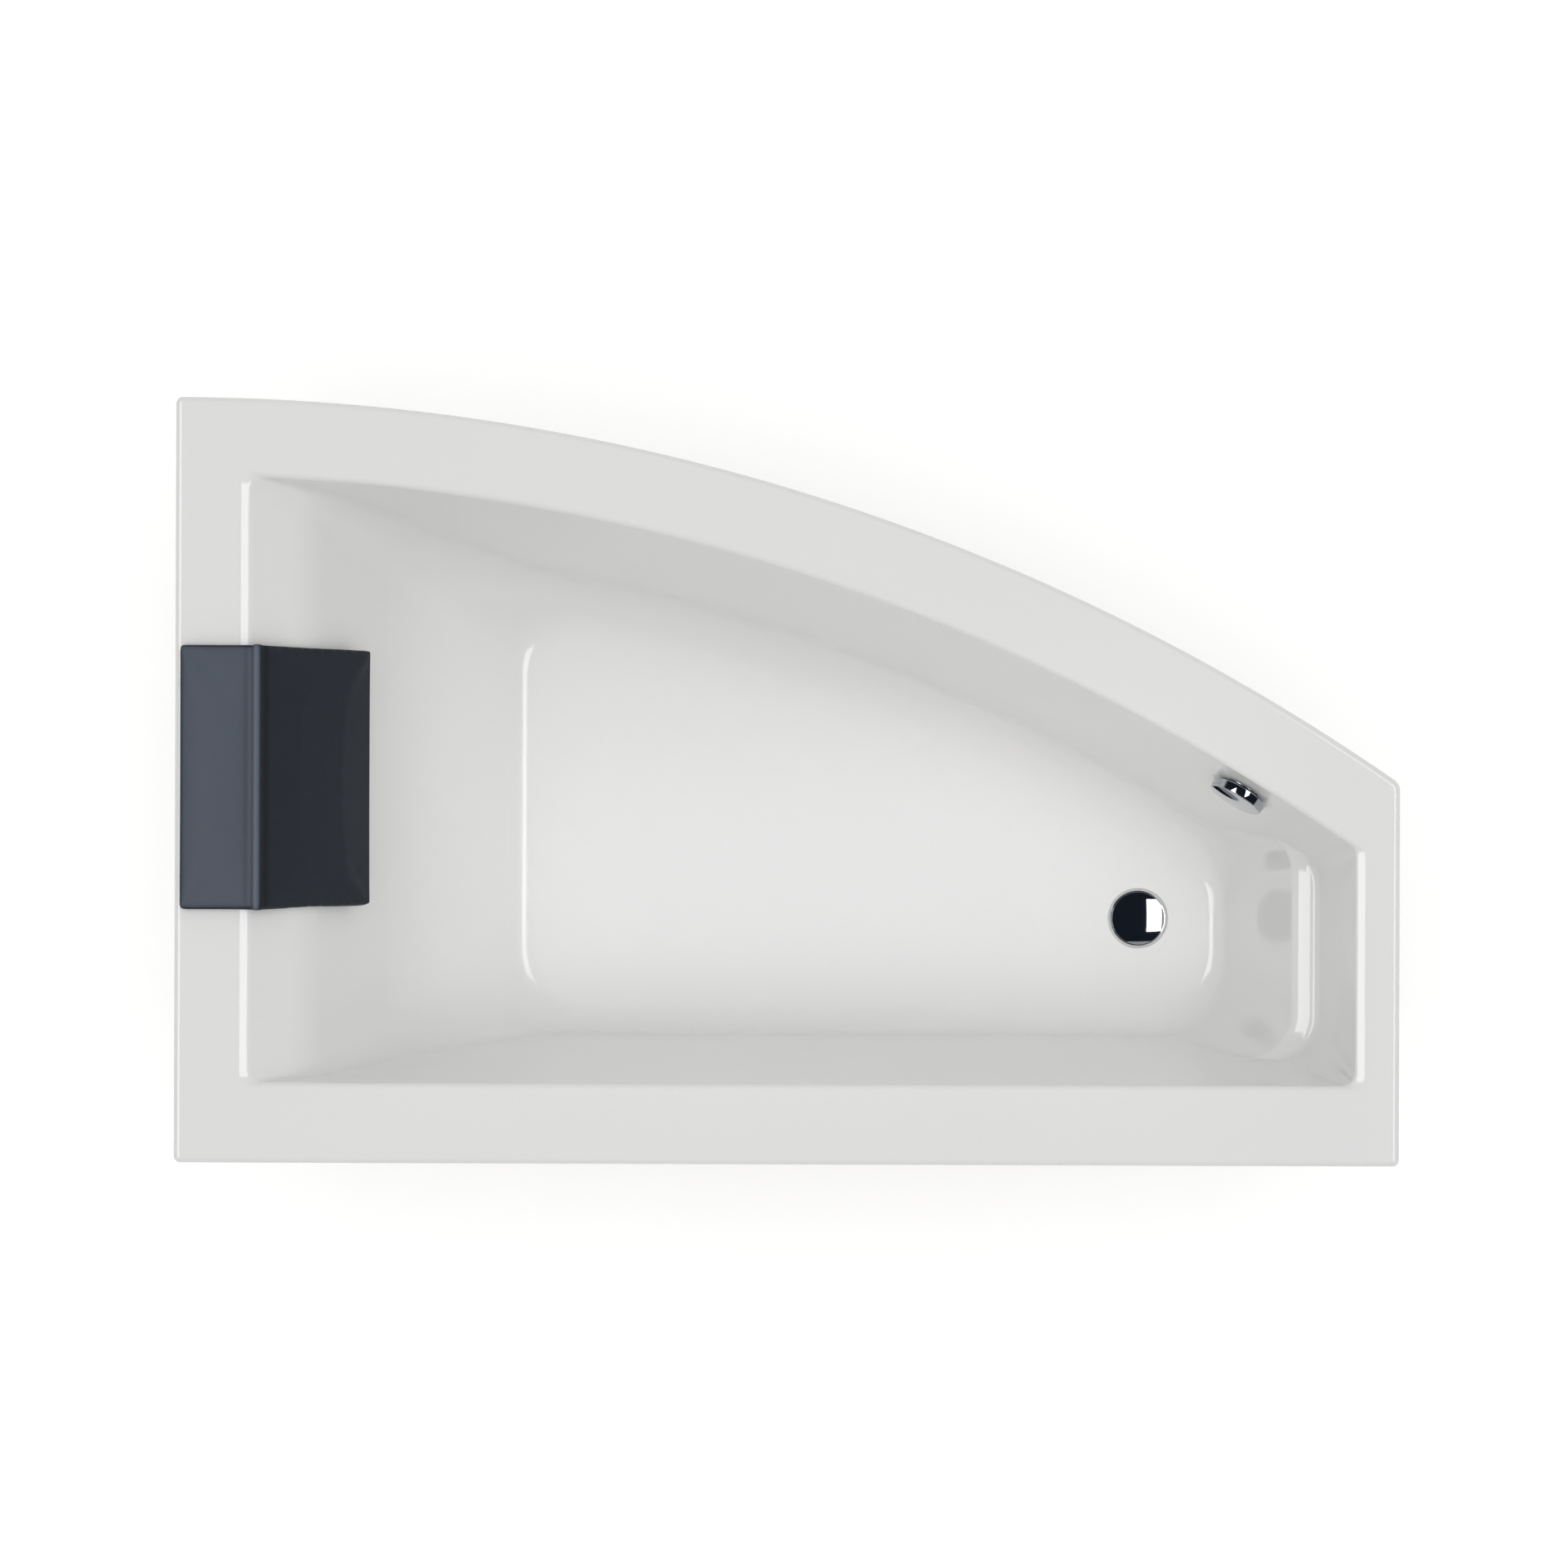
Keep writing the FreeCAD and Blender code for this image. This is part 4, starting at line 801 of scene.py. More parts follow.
class WallProfile:
    """One wall of the basin: inset from the rim's outer edge against depth, its corners rounded."""

    LEAST_ROUND = 0.5

    def __init__(self, corners: Sequence[Point], rounds: Sequence[float], below: float) -> None:
        """Works out the roundings.

        Args:
            corners: Corners of the profile as inset and depth.
            rounds: Radius at each inner corner.
            below: How far the profile stands out of the basin, square to itself.
        """
        lines = []
        for (i0, d0), (i1, d1) in zip(corners, corners[1:]):
            size = math.hypot(i1 - i0, d1 - d0)
            di, dd = (i1 - i0) / size, (d1 - d0) / size
            lines.append((i0 - dd * below, d0 + di * below, di, dd))
        moved = [lines[0][:2]]
        for (i0, d0, a0, b0), (i1, d1, a1, b1) in zip(lines, lines[1:]):
            along = ((i1 - i0) * b1 - (d1 - d0) * a1) / (a0 * b1 - b0 * a1)
            moved.append((i0 + a0 * along, d0 + b0 * along))
        moved.append((corners[-1][0] - lines[-1][3] * below, corners[-1][1] + lines[-1][2] * below))
        self.corners = moved
        self.arcs: list[tuple[Point, Point, Point, float, int]] = []
        for k, radius in enumerate(rounds, start=1):
            before, after = lines[k - 1][2:], lines[k][2:]
            side = before[0] * after[1] - before[1] * after[0]
            radius = max(radius - below if side > 0 else radius + below, self.LEAST_ROUND)
            half = math.acos(max(-1.0, min(1.0, before[0] * after[0] + before[1] * after[1]))) / 2
            reach = radius * math.tan(half)
            inset, depth = moved[k]
            start = (inset - before[0] * reach, depth - before[1] * reach)
            end = (inset + after[0] * reach, depth + after[1] * reach)
            sign = 1 if side > 0 else -1
            centre = (start[0] - sign * before[1] * radius, start[1] + sign * before[0] * radius)
            self.arcs.append((start, end, centre, radius, sign))

    def inset(self, depth: float) -> float:
        """Finds how far the wall stands in from the rim's outer edge.

        Args:
            depth: Depth under the rim's top.

        Returns:
            The inset at that depth.
        """
        for start, end, centre, radius, sign in self.arcs:
            if start[1] <= depth <= end[1]:
                return centre[0] + sign * math.sqrt(max(radius ** 2 - (depth - centre[1]) ** 2, 0.0))
        stops = [self.corners[0]]
        for start, end, *_ in self.arcs:
            stops += [start, end]
        stops.append(self.corners[-1])
        for (i0, d0), (i1, d1) in zip(stops, stops[1:]):
            if d1 > d0 and d0 - TINY <= depth <= d1 + TINY:
                return i0 + (i1 - i0) * (depth - d0) / (d1 - d0)
        return self.arcs[-1][1][0] if depth > self.arcs[-1][1][1] - TINY else self.arcs[0][0][0]

    def depths(self, steps: int) -> Iterator[float]:
        """Goes through the depths at which the roundings turn by equal angles.

        Args:
            steps: Number of steps in each rounding.

        Yields:
            Each depth.
        """
        for start, end, centre, radius, _ in self.arcs:
            first = math.asin(max(-1.0, min(1.0, (start[1] - centre[1]) / radius)))
            last = math.asin(max(-1.0, min(1.0, (end[1] - centre[1]) / radius)))
            for k in range(steps + 1):
                yield centre[1] + radius * math.sin(first + (last - first) * k / steps)


@dataclass
class Basin:
    """The four walls of the basin on its inner face, or on its outer one.

    Under the head rim and the foot rim a narrow facet leads in, and the foot ledge has a softly broken
    middle.  Their corners are given as distance from the rim's edge or the ledge's start, and depth.
    """

    sizes: BathSizes
    below: float = 0.0
    lead_in: float = 100.0
    run_out: float = 200.0
    head_facet: tuple[Point, Point] = ((-9.0, 0.0), (5.27, 4.91))
    head_facet_rounds: tuple[float, ...] = (20.0, 20.0)
    foot_facet: tuple[Point, Point] = ((-13.0, 0.0), (0.4, 5.4))
    foot_facet_rounds: tuple[float, ...] = (20.0, 5.0)
    ledge_middle: Point = (13.0, 3.0)
    ledge_middle_round: float = 30.0
    round_steps: int = 9
    even_rings: int = 20
    beside_round: float = 1.5
    end_zone: float = 2.0
    end_gap: float = 0.02
    gap: float = 0.35

    def __post_init__(self) -> None:
        """Builds the wall profiles."""
        s = self.sizes
        self.head = self._backrest()
        self.straight = self._straight(s.wall_rim, s.wall_slope, s.wall_floor_round)
        self.bow = self._straight(s.bow_rim, s.bow_slope, s.bow_floor_round)
        self.foot = self._stepped()
        self.sides = (self.head, self.straight, self.foot, self.bow)

    def _profile(self, rim: float, corners: Sequence[Point], rounds: Sequence[float]) -> WallProfile:
        """Profile through corners, from the flat rim down to the flat floor.

        Args:
            rim: Width of the rim.
            corners: Corners from the rim's edge to the floor's.
            rounds: Radius at each of them.

        Returns:
            The profile.
        """
        end, deep = corners[-1]
        whole = [(rim - self.lead_in, 0.0), *corners, (end + self.run_out, deep)]
        return WallProfile(whole, rounds, self.below)

    def _straight(self, rim: float, slope: float, floor: float) -> WallProfile:
        """Profile of a plain sloping wall, from its rim's width, its slope and its floor's rounding."""
        end = rim + self.sizes.depth * math.tan(math.radians(slope))
        return self._profile(rim, [(rim, 0.0), (end, self.sizes.depth)], [self.sizes.side_top_round, floor])

    def _backrest(self) -> WallProfile:
        """Profile of the head wall: a slanting lead-in, a steeper back and a flatter run-out.

        Returns:
            The profile.
        """
        s = self.sizes
        lead = s.head_rim + s.head_lead_depth * math.tan(math.radians(s.head_lead_slope))
        small = lead + (s.head_back_depth - s.head_lead_depth) * math.tan(math.radians(s.head_slope))
        end = small + (s.depth - s.head_back_depth) * math.tan(math.radians(s.head_low_slope))
        facet = [(s.head_rim + across, down) for across, down in self.head_facet]
        corners = [*facet, (lead, s.head_lead_depth), (small, s.head_back_depth), (end, s.depth)]
        rounds = [*self.head_facet_rounds, s.head_lead_round, s.head_low_round, s.head_floor_round]
        return self._profile(s.head_rim, corners, rounds)

    def _stepped(self) -> WallProfile:
        """Profile of the foot wall with its ledge.

        Returns:
            The profile.
        """
        s = self.sizes
        ledge = s.foot_rim + s.step_depth * math.tan(math.radians(s.foot_slope))
        lip, lip_depth = ledge + s.step_width, s.step_depth + s.step_drop
        end = lip + (s.depth - lip_depth) * math.tan(math.radians(s.foot_lower_slope))
        facet = [(s.foot_rim + across, down) for across, down in self.foot_facet]
        middle = (ledge + self.ledge_middle[0], s.step_depth + self.ledge_middle[1])
        corners = [*facet, (ledge, s.step_depth), middle, (lip, lip_depth), (end, s.depth)]
        rounds = [*self.foot_facet_rounds, s.foot_crease_round, self.ledge_middle_round,
                  s.foot_ledge_round, s.foot_floor_round]
        return self._profile(s.foot_rim, corners, rounds)

    def corner(self, depth: float, one: WallProfile, other: WallProfile) -> float:
        """Finds the plan radius of the corner between two walls.

        Args:
            depth: Depth under the rim's top.
            one: The first wall.
            other: The second wall.

        Returns:
            The radius, which shrinks where the walls run out on the floor.
        """
        drawn = 0.0
        for side in (one, other):
            (inset, floor), line = side.corners[-2], side.arcs[-1][0]
            if depth > line[1]:
                level = inset - (inset - line[0]) * (floor - depth) / (floor - line[1])
                drawn += (side.inset(depth) - level) / 2
        return self.sizes.plan_corner + self.sizes.plan_growth * depth + self.below - drawn

    def ring(self, depth: float) -> list[Vector]:
        """Draws the basin's outline.

        Args:
            depth: Depth under the rim's top.

        Returns:
            The outline's points at that depth.
        """
        head, straight, foot, bow = self.sides
        pairs = ((head, straight), (straight, foot), (foot, bow), (bow, head))
        radii = [self.corner(depth, *pair) for pair in pairs]
        insets = [side.inset(depth) for side in self.sides]
        return plan_ring(self.sizes, insets, radii, self.sizes.rim_top - depth)

    def depths(self) -> list[float]:
        """Chooses the depths of all rings, close together in the roundings and at their ends.

        Returns:
            The depths, in order.
        """
        bottom = self.sizes.depth + self.below
        found = {self.below, bottom}
        for side in self.sides:
            found.update(side.depths(self.round_steps))
            for start, end, *_ in side.arcs:
                found.update((start[1] - self.beside_round, end[1] + self.beside_round))
        found.update(np.linspace(self.below, bottom, self.even_rings).tolist())
        ordered = sorted(d for d in found if self.below - 1e-6 <= d <= bottom + 1e-6)
        kept = [ordered[0]]
        for depth in ordered[1:]:
            near_end = depth - self.below < self.end_zone or bottom - depth < self.end_zone
            if depth - kept[-1] > (self.end_gap if near_end else self.gap):
                kept.append(depth)
        kept[-1] = bottom
        return kept


STEPS_CORNER, STEPS_BOW, STEPS_SIDE = 18, 96, 24


def plan_ring(sizes: BathSizes, insets: Sequence[float], radii: Sequence[float],
              height: float) -> list[Vector]:
    """The bath's plan outline, drawn in by an inset on each side, always with the same point count.

    Args:
        sizes: The bath's sizes.
        insets: Insets from the head, the straight wall, the foot and the bow.
        radii: Corner radii, head to wall, wall to foot, foot to bow and bow to head.
        height: Height of the outline.

    Returns:
        Its points, anticlockwise from the head's end of the straight side.
    """
    head, straight, foot, bow = insets
    left, right = -sizes.length / 2 + head, sizes.length / 2 - foot
    low = -sizes.width / 2 + straight
    hub, radius = sizes.bow_hub, sizes.bow_radius - bow
    r_hw, r_wf, r_fb, r_bh = radii
    c_hw, c_wf = Vector((left + r_hw, low + r_hw, 0)), Vector((right - r_wf, low + r_wf, 0))
    c_fb, c_bh = (Vector((x, hub.y + math.sqrt((radius - r) ** 2 - (x - hub.x) ** 2), 0))
                  for x, r in ((right - r_fb, r_fb), (left + r_bh, r_bh)))

    def sweep(centre: Vector, r: float, start: float, end: float, steps: int) -> list[Vector]:
        """Points of an arc, without its last one."""
        turns = (start + (end - start) * k / steps for k in range(steps))
        return [Vector((centre.x + r * math.cos(t), centre.y + r * math.sin(t), height)) for t in turns]

    def run(x0: float, y0: float, x1: float, y1: float) -> list[Vector]:
        """Points of a straight side, without its last one."""
        return [Vector((x0 + (x1 - x0) * k / STEPS_SIDE, y0 + (y1 - y0) * k / STEPS_SIDE, height))
                for k in range(STEPS_SIDE)]

    t_fb = math.atan2(c_fb.y - hub.y, c_fb.x - hub.x)
    t_bh = math.atan2(c_bh.y - hub.y, c_bh.x - hub.x)
    ring = run(c_hw.x, low, c_wf.x, low) + sweep(c_wf, r_wf, -math.pi / 2, 0.0, STEPS_CORNER)
    ring += run(right, c_wf.y, right, c_fb.y) + sweep(c_fb, r_fb, 0.0, t_fb, STEPS_CORNER)
    ring += sweep(hub, radius, t_fb, t_bh, STEPS_BOW) + sweep(c_bh, r_bh, t_bh, math.pi, STEPS_CORNER)
    return ring + run(left, c_bh.y, left, c_hw.y) + sweep(c_hw, r_hw, math.pi, 1.5 * math.pi, STEPS_CORNER)


def towards(ring: Sequence[Vector], other: Sequence[Vector], step: float) -> list[Vector]:
    """Moves a ring towards another, level with itself.

    Args:
        ring: The ring.
        other: The ring that it moves towards.
        step: How far it moves.

    Returns:
        The moved ring.
    """
    moved = []
    for a, b in zip(ring, other):
        way = Vector((b.x - a.x, b.y - a.y, 0.0))
        moved.append(a + way.normalized() * step)
    return moved


def shrunk(ring: Sequence[Vector], step: float) -> list[Vector]:
    """Moves a ring inwards, square to itself.

    Args:
        ring: The ring.
        step: How far it moves.

    Returns:
        The moved ring.
    """
    count = len(ring)
    moved = []
    for k in range(count):
        way = ring[(k + 1) % count] - ring[k - 1]
        moved.append(ring[k] + Vector((-way.y, way.x, 0.0)).normalized() * step)
    return moved


def overflow_place(s: BathSizes) -> Matrix:
    """Finds the overflow's place on the bowed wall's inner face.

    Args:
        s: The bath's sizes.

    Returns:
        Its place, in metres, with Z out of the wall and Y up the wall.
    """
    hub = s.bow_hub
    inset = Basin(s).bow.inset(s.overflow_depth)
    y = hub.y + math.sqrt((s.bow_radius - inset) ** 2 - (s.overflow_x - hub.x) ** 2)
    spot = Vector((s.overflow_x, y, s.rim_top - s.overflow_depth))
    inward = Vector((hub.x - spot.x, hub.y - spot.y, 0.0)).normalized()
    tilt = math.radians(s.bow_slope)
    normal = inward * math.cos(tilt) + Vector((0, 0, math.sin(tilt)))
    upward = Vector((0, 0, math.cos(tilt))) - inward * math.sin(tilt)
    across = upward.cross(normal)
    turn = Matrix((across, upward, normal)).transposed().to_4x4()
    return Matrix.Translation(spot * MM) @ turn


@dataclass
class TubShell:
    """The thermoformed shell: rim with its turned-down edge, basin, drain recess and overflow seat.

    A narrow band beside each rounding keeps the smooth shading of the flat faces clean.
    """

    sizes: BathSizes
    recess_round: float = 1.2
    arc_steps: int = 8
    drain_steps: int = 96
    bore_steps: int = 72
    band: float = 1.0
    back_band: float = 2.0
    floor_band: float = 3.0
    seat_back: float = 0.5
    seat_pad_top: float = -2.5
    seat_cut: float = 4.0
    hole_half: float = 30.0
    dress_margin: float = 0.5
    dress_heights: Span = (-2.4, 6.0)
    sharp: float = 35.0
    vertices: list[Vector] = field(default_factory=list)
    faces: list[tuple[int, ...]] = field(default_factory=list)
    inner_faces: int = 0

    def rim_ring(self, inset: float, height: float) -> list[Vector]:
        """Draws a ring round the rim.

        Args:
            inset: Its distance from the rim's outer edge.
            height: Its height.

        Returns:
            The ring's points.
        """
        s = self.sizes
        rounds = (s.corner_round, s.corner_round, s.bow_corner_round, s.corner_round)
        return plan_ring(s, [inset] * 4, [max(r - inset, 1.0) for r in rounds], height)

    def drain_ring(self, radius: float, height: float) -> list[Vector]:
        """Draws a circle round the drain.

        Args:
            radius: Its radius.
            height: Its height.

        Returns:
            The circle's points.
        """
        x, y, count = self.sizes.drain_x, self.sizes.drain_y, self.drain_steps
        turns = (2 * math.pi * k / count for k in range(count))
        return [Vector((x + radius * math.cos(t), y + radius * math.sin(t), height)) for t in turns]

    def add_rings(self, rings: Sequence[Sequence[Vector]],
                  closing: Sequence[int] | None = None) -> list[int]:
        """Adds a band of quads through rings of equal count.

        Args:
            rings: The rings, in order.
            closing: Point numbers of a ring that is already there, to start from.

        Returns:
            The point numbers of the last ring.
        """
        last = list(closing) if closing is not None else None
        for ring in rings:
            numbers = list(range(len(self.vertices), len(self.vertices) + len(ring)))
            self.vertices += ring
            if last is not None:
                for k in range(len(ring)):
                    m = (k + 1) % len(ring)
                    self.faces.append((last[k], last[m], numbers[m], numbers[k]))
            last = numbers
        return last or []

    def _arc(self) -> list[float]:
        """Returns the angles of a quarter turn in even steps."""
        return [math.pi / 2 * k / self.arc_steps for k in range(self.arc_steps + 1)]

    def _rim_outside(self) -> list[list[Vector]]:
        """Rings from the low end of the turned-down edge up and onto the flat rim.

        Returns:
            The rings, in order.
        """
        s, r, top = self.sizes, self.sizes.edge_round, self.sizes.rim_top
        edge = [self.rim_ring(r - r * math.sin(t), top - r + r * math.cos(t)) for t in self._arc()]
        heights = (top - s.skirt, top - s.skirt + self.band, top - r - self.band)
        return [self.rim_ring(0.0, h) for h in heights] + edge[::-1] + [self.rim_ring(r + self.band, top)]

    def _rim_inside(self) -> list[list[Vector]]:
        """Rings from the low end of the turned-down edge up its hidden side, to the rim's underside.

        Returns:
            The rings, in order.
        """
        s, under = self.sizes, self.sizes.rim_top - self.sizes.wall
        places = ((s.wall, s.rim_top - s.skirt), (s.wall, under - self.back_band),
                  (s.wall + self.back_band, under))
        return [self.rim_ring(inset, height) for inset, height in places]

    def _drain_inside(self) -> list[list[Vector]]:
        """Circles from the basin's floor over the recess's soft lip and down through the drain's hole.

        Returns:
            The circles, in order.
        """
        s, q = self.sizes, self.recess_round
        floor = s.rim_top - s.depth
        low = floor - s.recess_drop
        curl = [(s.recess + q - q * math.sin(t), floor - q + q * math.cos(t)) for t in self._arc()[::2]]
        outline = [(s.recess + 8.0, floor), (s.recess + q + self.band, floor), *curl,
                   (s.recess - 0.8, low + 0.8), (s.recess - 2.0, low), (s.drain_hole + self.band, low),
                   (s.drain_hole, low - self.band), (s.drain_hole, low - s.wall)]
        return [self.drain_ring(radius, height) for radius, height in outline]

    def _drain_outside(self) -> list[list[Vector]]:
        """Circles of the boss round the drain under the floor.

        Returns:
            The circles, from its lower face up to the floor's underside.
        """
        s = self.sizes
        under = s.rim_top - s.depth - s.wall
        low = s.rim_top - s.depth - s.recess_drop - s.wall
        outline = ((s.boss - self.band, low), (s.boss, low + self.band), (s.boss, under),
                   (s.boss + self.floor_band, under))
        return [self.drain_ring(radius, height) for radius, height in outline]

    def build(self) -> Piece:
        """Builds the whole shell as one closed mesh and gives each side its finish.

        Returns:
            The shell, standing for its CAD node.
        """
        inner, outer = Basin(self.sizes), Basin(self.sizes, self.sizes.wall)
        rim = self._rim_outside()
        basin = [inner.ring(depth) for depth in inner.depths()]
        start = self.add_rings(rim)
        lip = towards(basin[0], rim[-1], self.band)
        floor_in = self.add_rings([lip] + basin + [shrunk(basin[-1], self.floor_band)], start)
        drain = len(self.vertices)
        bottom = self.add_rings(self._drain_inside())
        self.inner_faces = len(self.faces)
        boss = self.add_rings(self._drain_outside(), bottom)
        back = [outer.ring(depth) for depth in outer.depths()]
        skirt = self._rim_inside()
        lip = towards(back[0], skirt[-1], self.band)
        hidden = skirt + [lip] + back + [shrunk(back[-1], self.floor_band)]
        floor_out = self.add_rings(hidden, list(range(len(rim[0]))))
        mesh = bpy.data.meshes.new("shell")
        mesh.from_pydata([v * MM for v in self.vertices], [], self.faces)
        mark = mesh.attributes.new("inner", "INT", "FACE")
        mark.data.foreach_set("value", [1 if k < self.inner_faces else 0 for k in range(len(self.faces))])
        self._fill(mesh, floor_in, list(range(drain, drain + self.drain_steps)), 1)
        self._fill(mesh, floor_out, boss, 0)
        tidy_mesh(mesh)
        piece = mesh_object("tub_shell_smooth", mesh, Finish.ACRYLIC, Finish.LAMINATE, sharp=None)
        self._bore_overflow(piece)
        self._dress(piece)
        return piece

    def _fill(self, mesh: Mesh, outside: Sequence[int], inside: Sequence[int], value: int) -> None:
        """Fills the flat floor between its edge and the drain's circle.

        Args:
            mesh: The shell's mesh.
            outside: Point numbers of the floor's edge.
            inside: Point numbers of the circle.
            value: 1 for the side of the basin, 0 for the hidden side.
        """
        work = bmesh.new()
        work.from_mesh(mesh)
        work.verts.ensure_lookup_table()
        edges = []
        for ring in (outside, inside):
            for k in range(len(ring)):
                pair = (work.verts[ring[k]], work.verts[ring[(k + 1) % len(ring)]])
                edges.append(work.edges.get(pair) or work.edges.new(pair))
        layer = work.faces.layers.int["inner"]
        filled = bmesh.ops.triangle_fill(work, edges=edges, use_beauty=True)
        for face in filled["geom"]:
            if isinstance(face, bmesh.types.BMFace):
                face[layer] = value
        work.to_mesh(mesh)
        work.free()

    def _bore_overflow(self, piece: Piece) -> None:
        """Adds the overflow's pad behind the bowed wall and cuts its flat seat and its hole.

        Args:
            piece: The shell.
        """
        s, steps = self.sizes, self.bore_steps
        place = overflow_place(s)
        pad = plain_disc(s.overflow_seat, -s.wall - self.seat_back, self.seat_pad_top, steps)
        cut(piece, placed(pad, place), "UNION")
        cut(piece, placed(plain_disc(s.overflow_seat, 0, self.seat_cut, steps), place))
        cut(piece, placed(plain_disc(s.overflow_hole, -self.hole_half, self.hole_half, steps), place))

    def _dress(self, piece: Piece) -> None:
        """Gives the faces that look into the basin or up the acrylic, and the hidden side the laminate.

        Args:
            piece: The shell.
        """
        mesh = piece.data
        mark = mesh.attributes.get("inner")
        values = [0] * len(mesh.polygons)
        mark.data.foreach_get("value", values)
        back = overflow_place(self.sizes).inverted()
        reach = self.sizes.overflow_seat + self.dress_margin
        low, high = self.dress_heights
        for face in mesh.polygons:
            spot = back @ face.center / MM
            if math.hypot(spot.x, spot.y) < reach and low < spot.z < high:
                values[face.index] = 1
        mesh.polygons.foreach_set("material_index", [1 - v for v in values])
        mesh.attributes.remove(mark)
        shade(mesh, self.sharp)
        mesh.update()


# ---------------------------------------------------------------- node-built repeats

FLOAT, WHOLE = "NodeSocketFloat", "NodeSocketInt"


def socket_id(tree: bpy.types.NodeTree, name: str) -> str:
    """Returns the identifier of a group's input by its name."""
    return next(item.identifier for item in tree.interface.items_tree
                if item.item_type == "SOCKET" and item.in_out == "INPUT" and item.name == name)


class Builder:
    """A geometry node group with named inputs, ended by realised instances and a material."""

    def __init__(self, name: str, inputs: dict[str, tuple[str, Any]]) -> None:
        """Starts the group.

        Args:
            name: The group's name.
            inputs: Socket type and default value by input name.
        """
        self.tree = bpy.data.node_groups.new(name, "GeometryNodeTree")
        self.tree.interface.new_socket("Geometry", in_out="INPUT", socket_type="NodeSocketGeometry")
        for label, (kind, value) in inputs.items():
            socket = self.tree.interface.new_socket(label, in_out="INPUT", socket_type=kind)
            socket.default_value = value
        self.tree.interface.new_socket("Geometry", in_out="OUTPUT", socket_type="NodeSocketGeometry")
        self.graph = Graph(self.tree)
        self.start = self.graph.add("NodeGroupInput")

    def __getitem__(self, name: str) -> Socket:
        """Returns the socket of a named input."""
        return self.start.outputs[name]

    def end(self, geometry: Socket, finish: Finish) -> bpy.types.NodeTree:
        """Ends the group.

        Args:
            geometry: What the group has made.
            finish: The finish that it gets.

        Returns:
            The group.
        """
        whole = self.graph.add("GeometryNodeRealizeInstances", {"Geometry": geometry}).outputs[0]
        coat = {"Geometry": whole, "Material": finish.material()}
        dressed = self.graph.add("GeometryNodeSetMaterial", coat)
        self.graph.add("NodeGroupOutput", {"Geometry": dressed.outputs[0]})
        return self.tree


def grown(name: str, data: Mesh | bpy.types.Curve, tree: bpy.types.NodeTree,
          sizes: dict[str, float | int], finish: Finish, sharp: float) -> Piece:
    """Grows a piece out of base geometry by a node group and leaves a plain mesh.

    Args:
        name: The piece's name.
        data: The geometry that the group starts from.
        tree: The node group.
        sizes: The group's inputs by name.
        finish: The finish of the result.
        sharp: Angle in degrees above which an edge stays crisp.

    Returns:
        The piece.
    """
    seed = linked(name + "_seed", data)
    modifier = seed.modifiers.new("build", "NODES")
    modifier.node_group = tree
    for label, value in sizes.items():
        modifier[socket_id(tree, label)] = value
    mesh = evaluated(seed)
    bpy.data.objects.remove(seed)
    tidy_mesh(mesh)
    return mesh_object(name, mesh, finish, sharp=sharp)


def curve_of(points: Sequence[Vector]) -> bpy.types.Curve:
    """Draws a smooth open spline.

    Args:
        points: Its guiding points in millimetres.

    Returns:
        The curve, in metres.
    """
    curve = bpy.data.curves.new("path", "CURVE")
    curve.dimensions = "3D"
    curve.resolution_u = 24
    line = curve.splines.new("NURBS")
    line.points.add(len(points) - 1)
    for target, point in zip(line.points, points):
        target.co = (*(point * MM), 1.0)
    line.order_u = 3
    line.use_endpoint_u = True
    return curve


def spline_points(curve: bpy.types.Curve) -> list[Vector]:
    """Reads the points along a curve's own line.

    Args:
        curve: The curve.

    Returns:
        The points, from one end to the other.
    """
    holder = linked("line", curve)
    line = evaluated(holder)
    bpy.data.objects.remove(holder)
    return [vertex.co.copy() for vertex in line.vertices]


def ribbed_tube(finish: Finish) -> bpy.types.NodeTree:
    """Tube along a curve, whose radius swells in even ribs.

    Args:
        finish: The tube's finish.

    Returns:
        The node group.
    """
    steps_per_rib = 8.0
    builder = Builder("ribbed_tube", {"Radius": (FLOAT, 0.016), "Rib height": (FLOAT, 0.0012),
                                      "Rib pitch": (FLOAT, 0.0055), "Sides": (WHOLE, 32)})
    g = builder.graph
    step = g.math("DIVIDE", builder["Rib pitch"], steps_per_rib)
    path = g.add("GeometryNodeResampleCurve", {"Curve": builder["Geometry"], "Length": step}, mode="LENGTH")
    along = g.add("GeometryNodeSplineParameter").outputs["Length"]
    turn = g.math("MULTIPLY", g.math("DIVIDE", along, builder["Rib pitch"]), 2 * math.pi)
    wave = g.math("SUBTRACT", g.math("COSINE", turn), 1.0)
    swell = g.math("MULTIPLY", wave, g.math("MULTIPLY", builder["Rib height"], 0.5))
    radius = g.math("ADD", builder["Radius"], swell)
    ring = g.add("GeometryNodeCurvePrimitiveCircle", {"Resolution": builder["Sides"], "Radius": 1.0})
    tube = g.add("GeometryNodeCurveToMesh", {"Curve": path.outputs[0], "Profile Curve": ring.outputs[0],
                                             "Scale": radius, "Fill Caps": True})
    return builder.end(tube.outputs[0], finish)


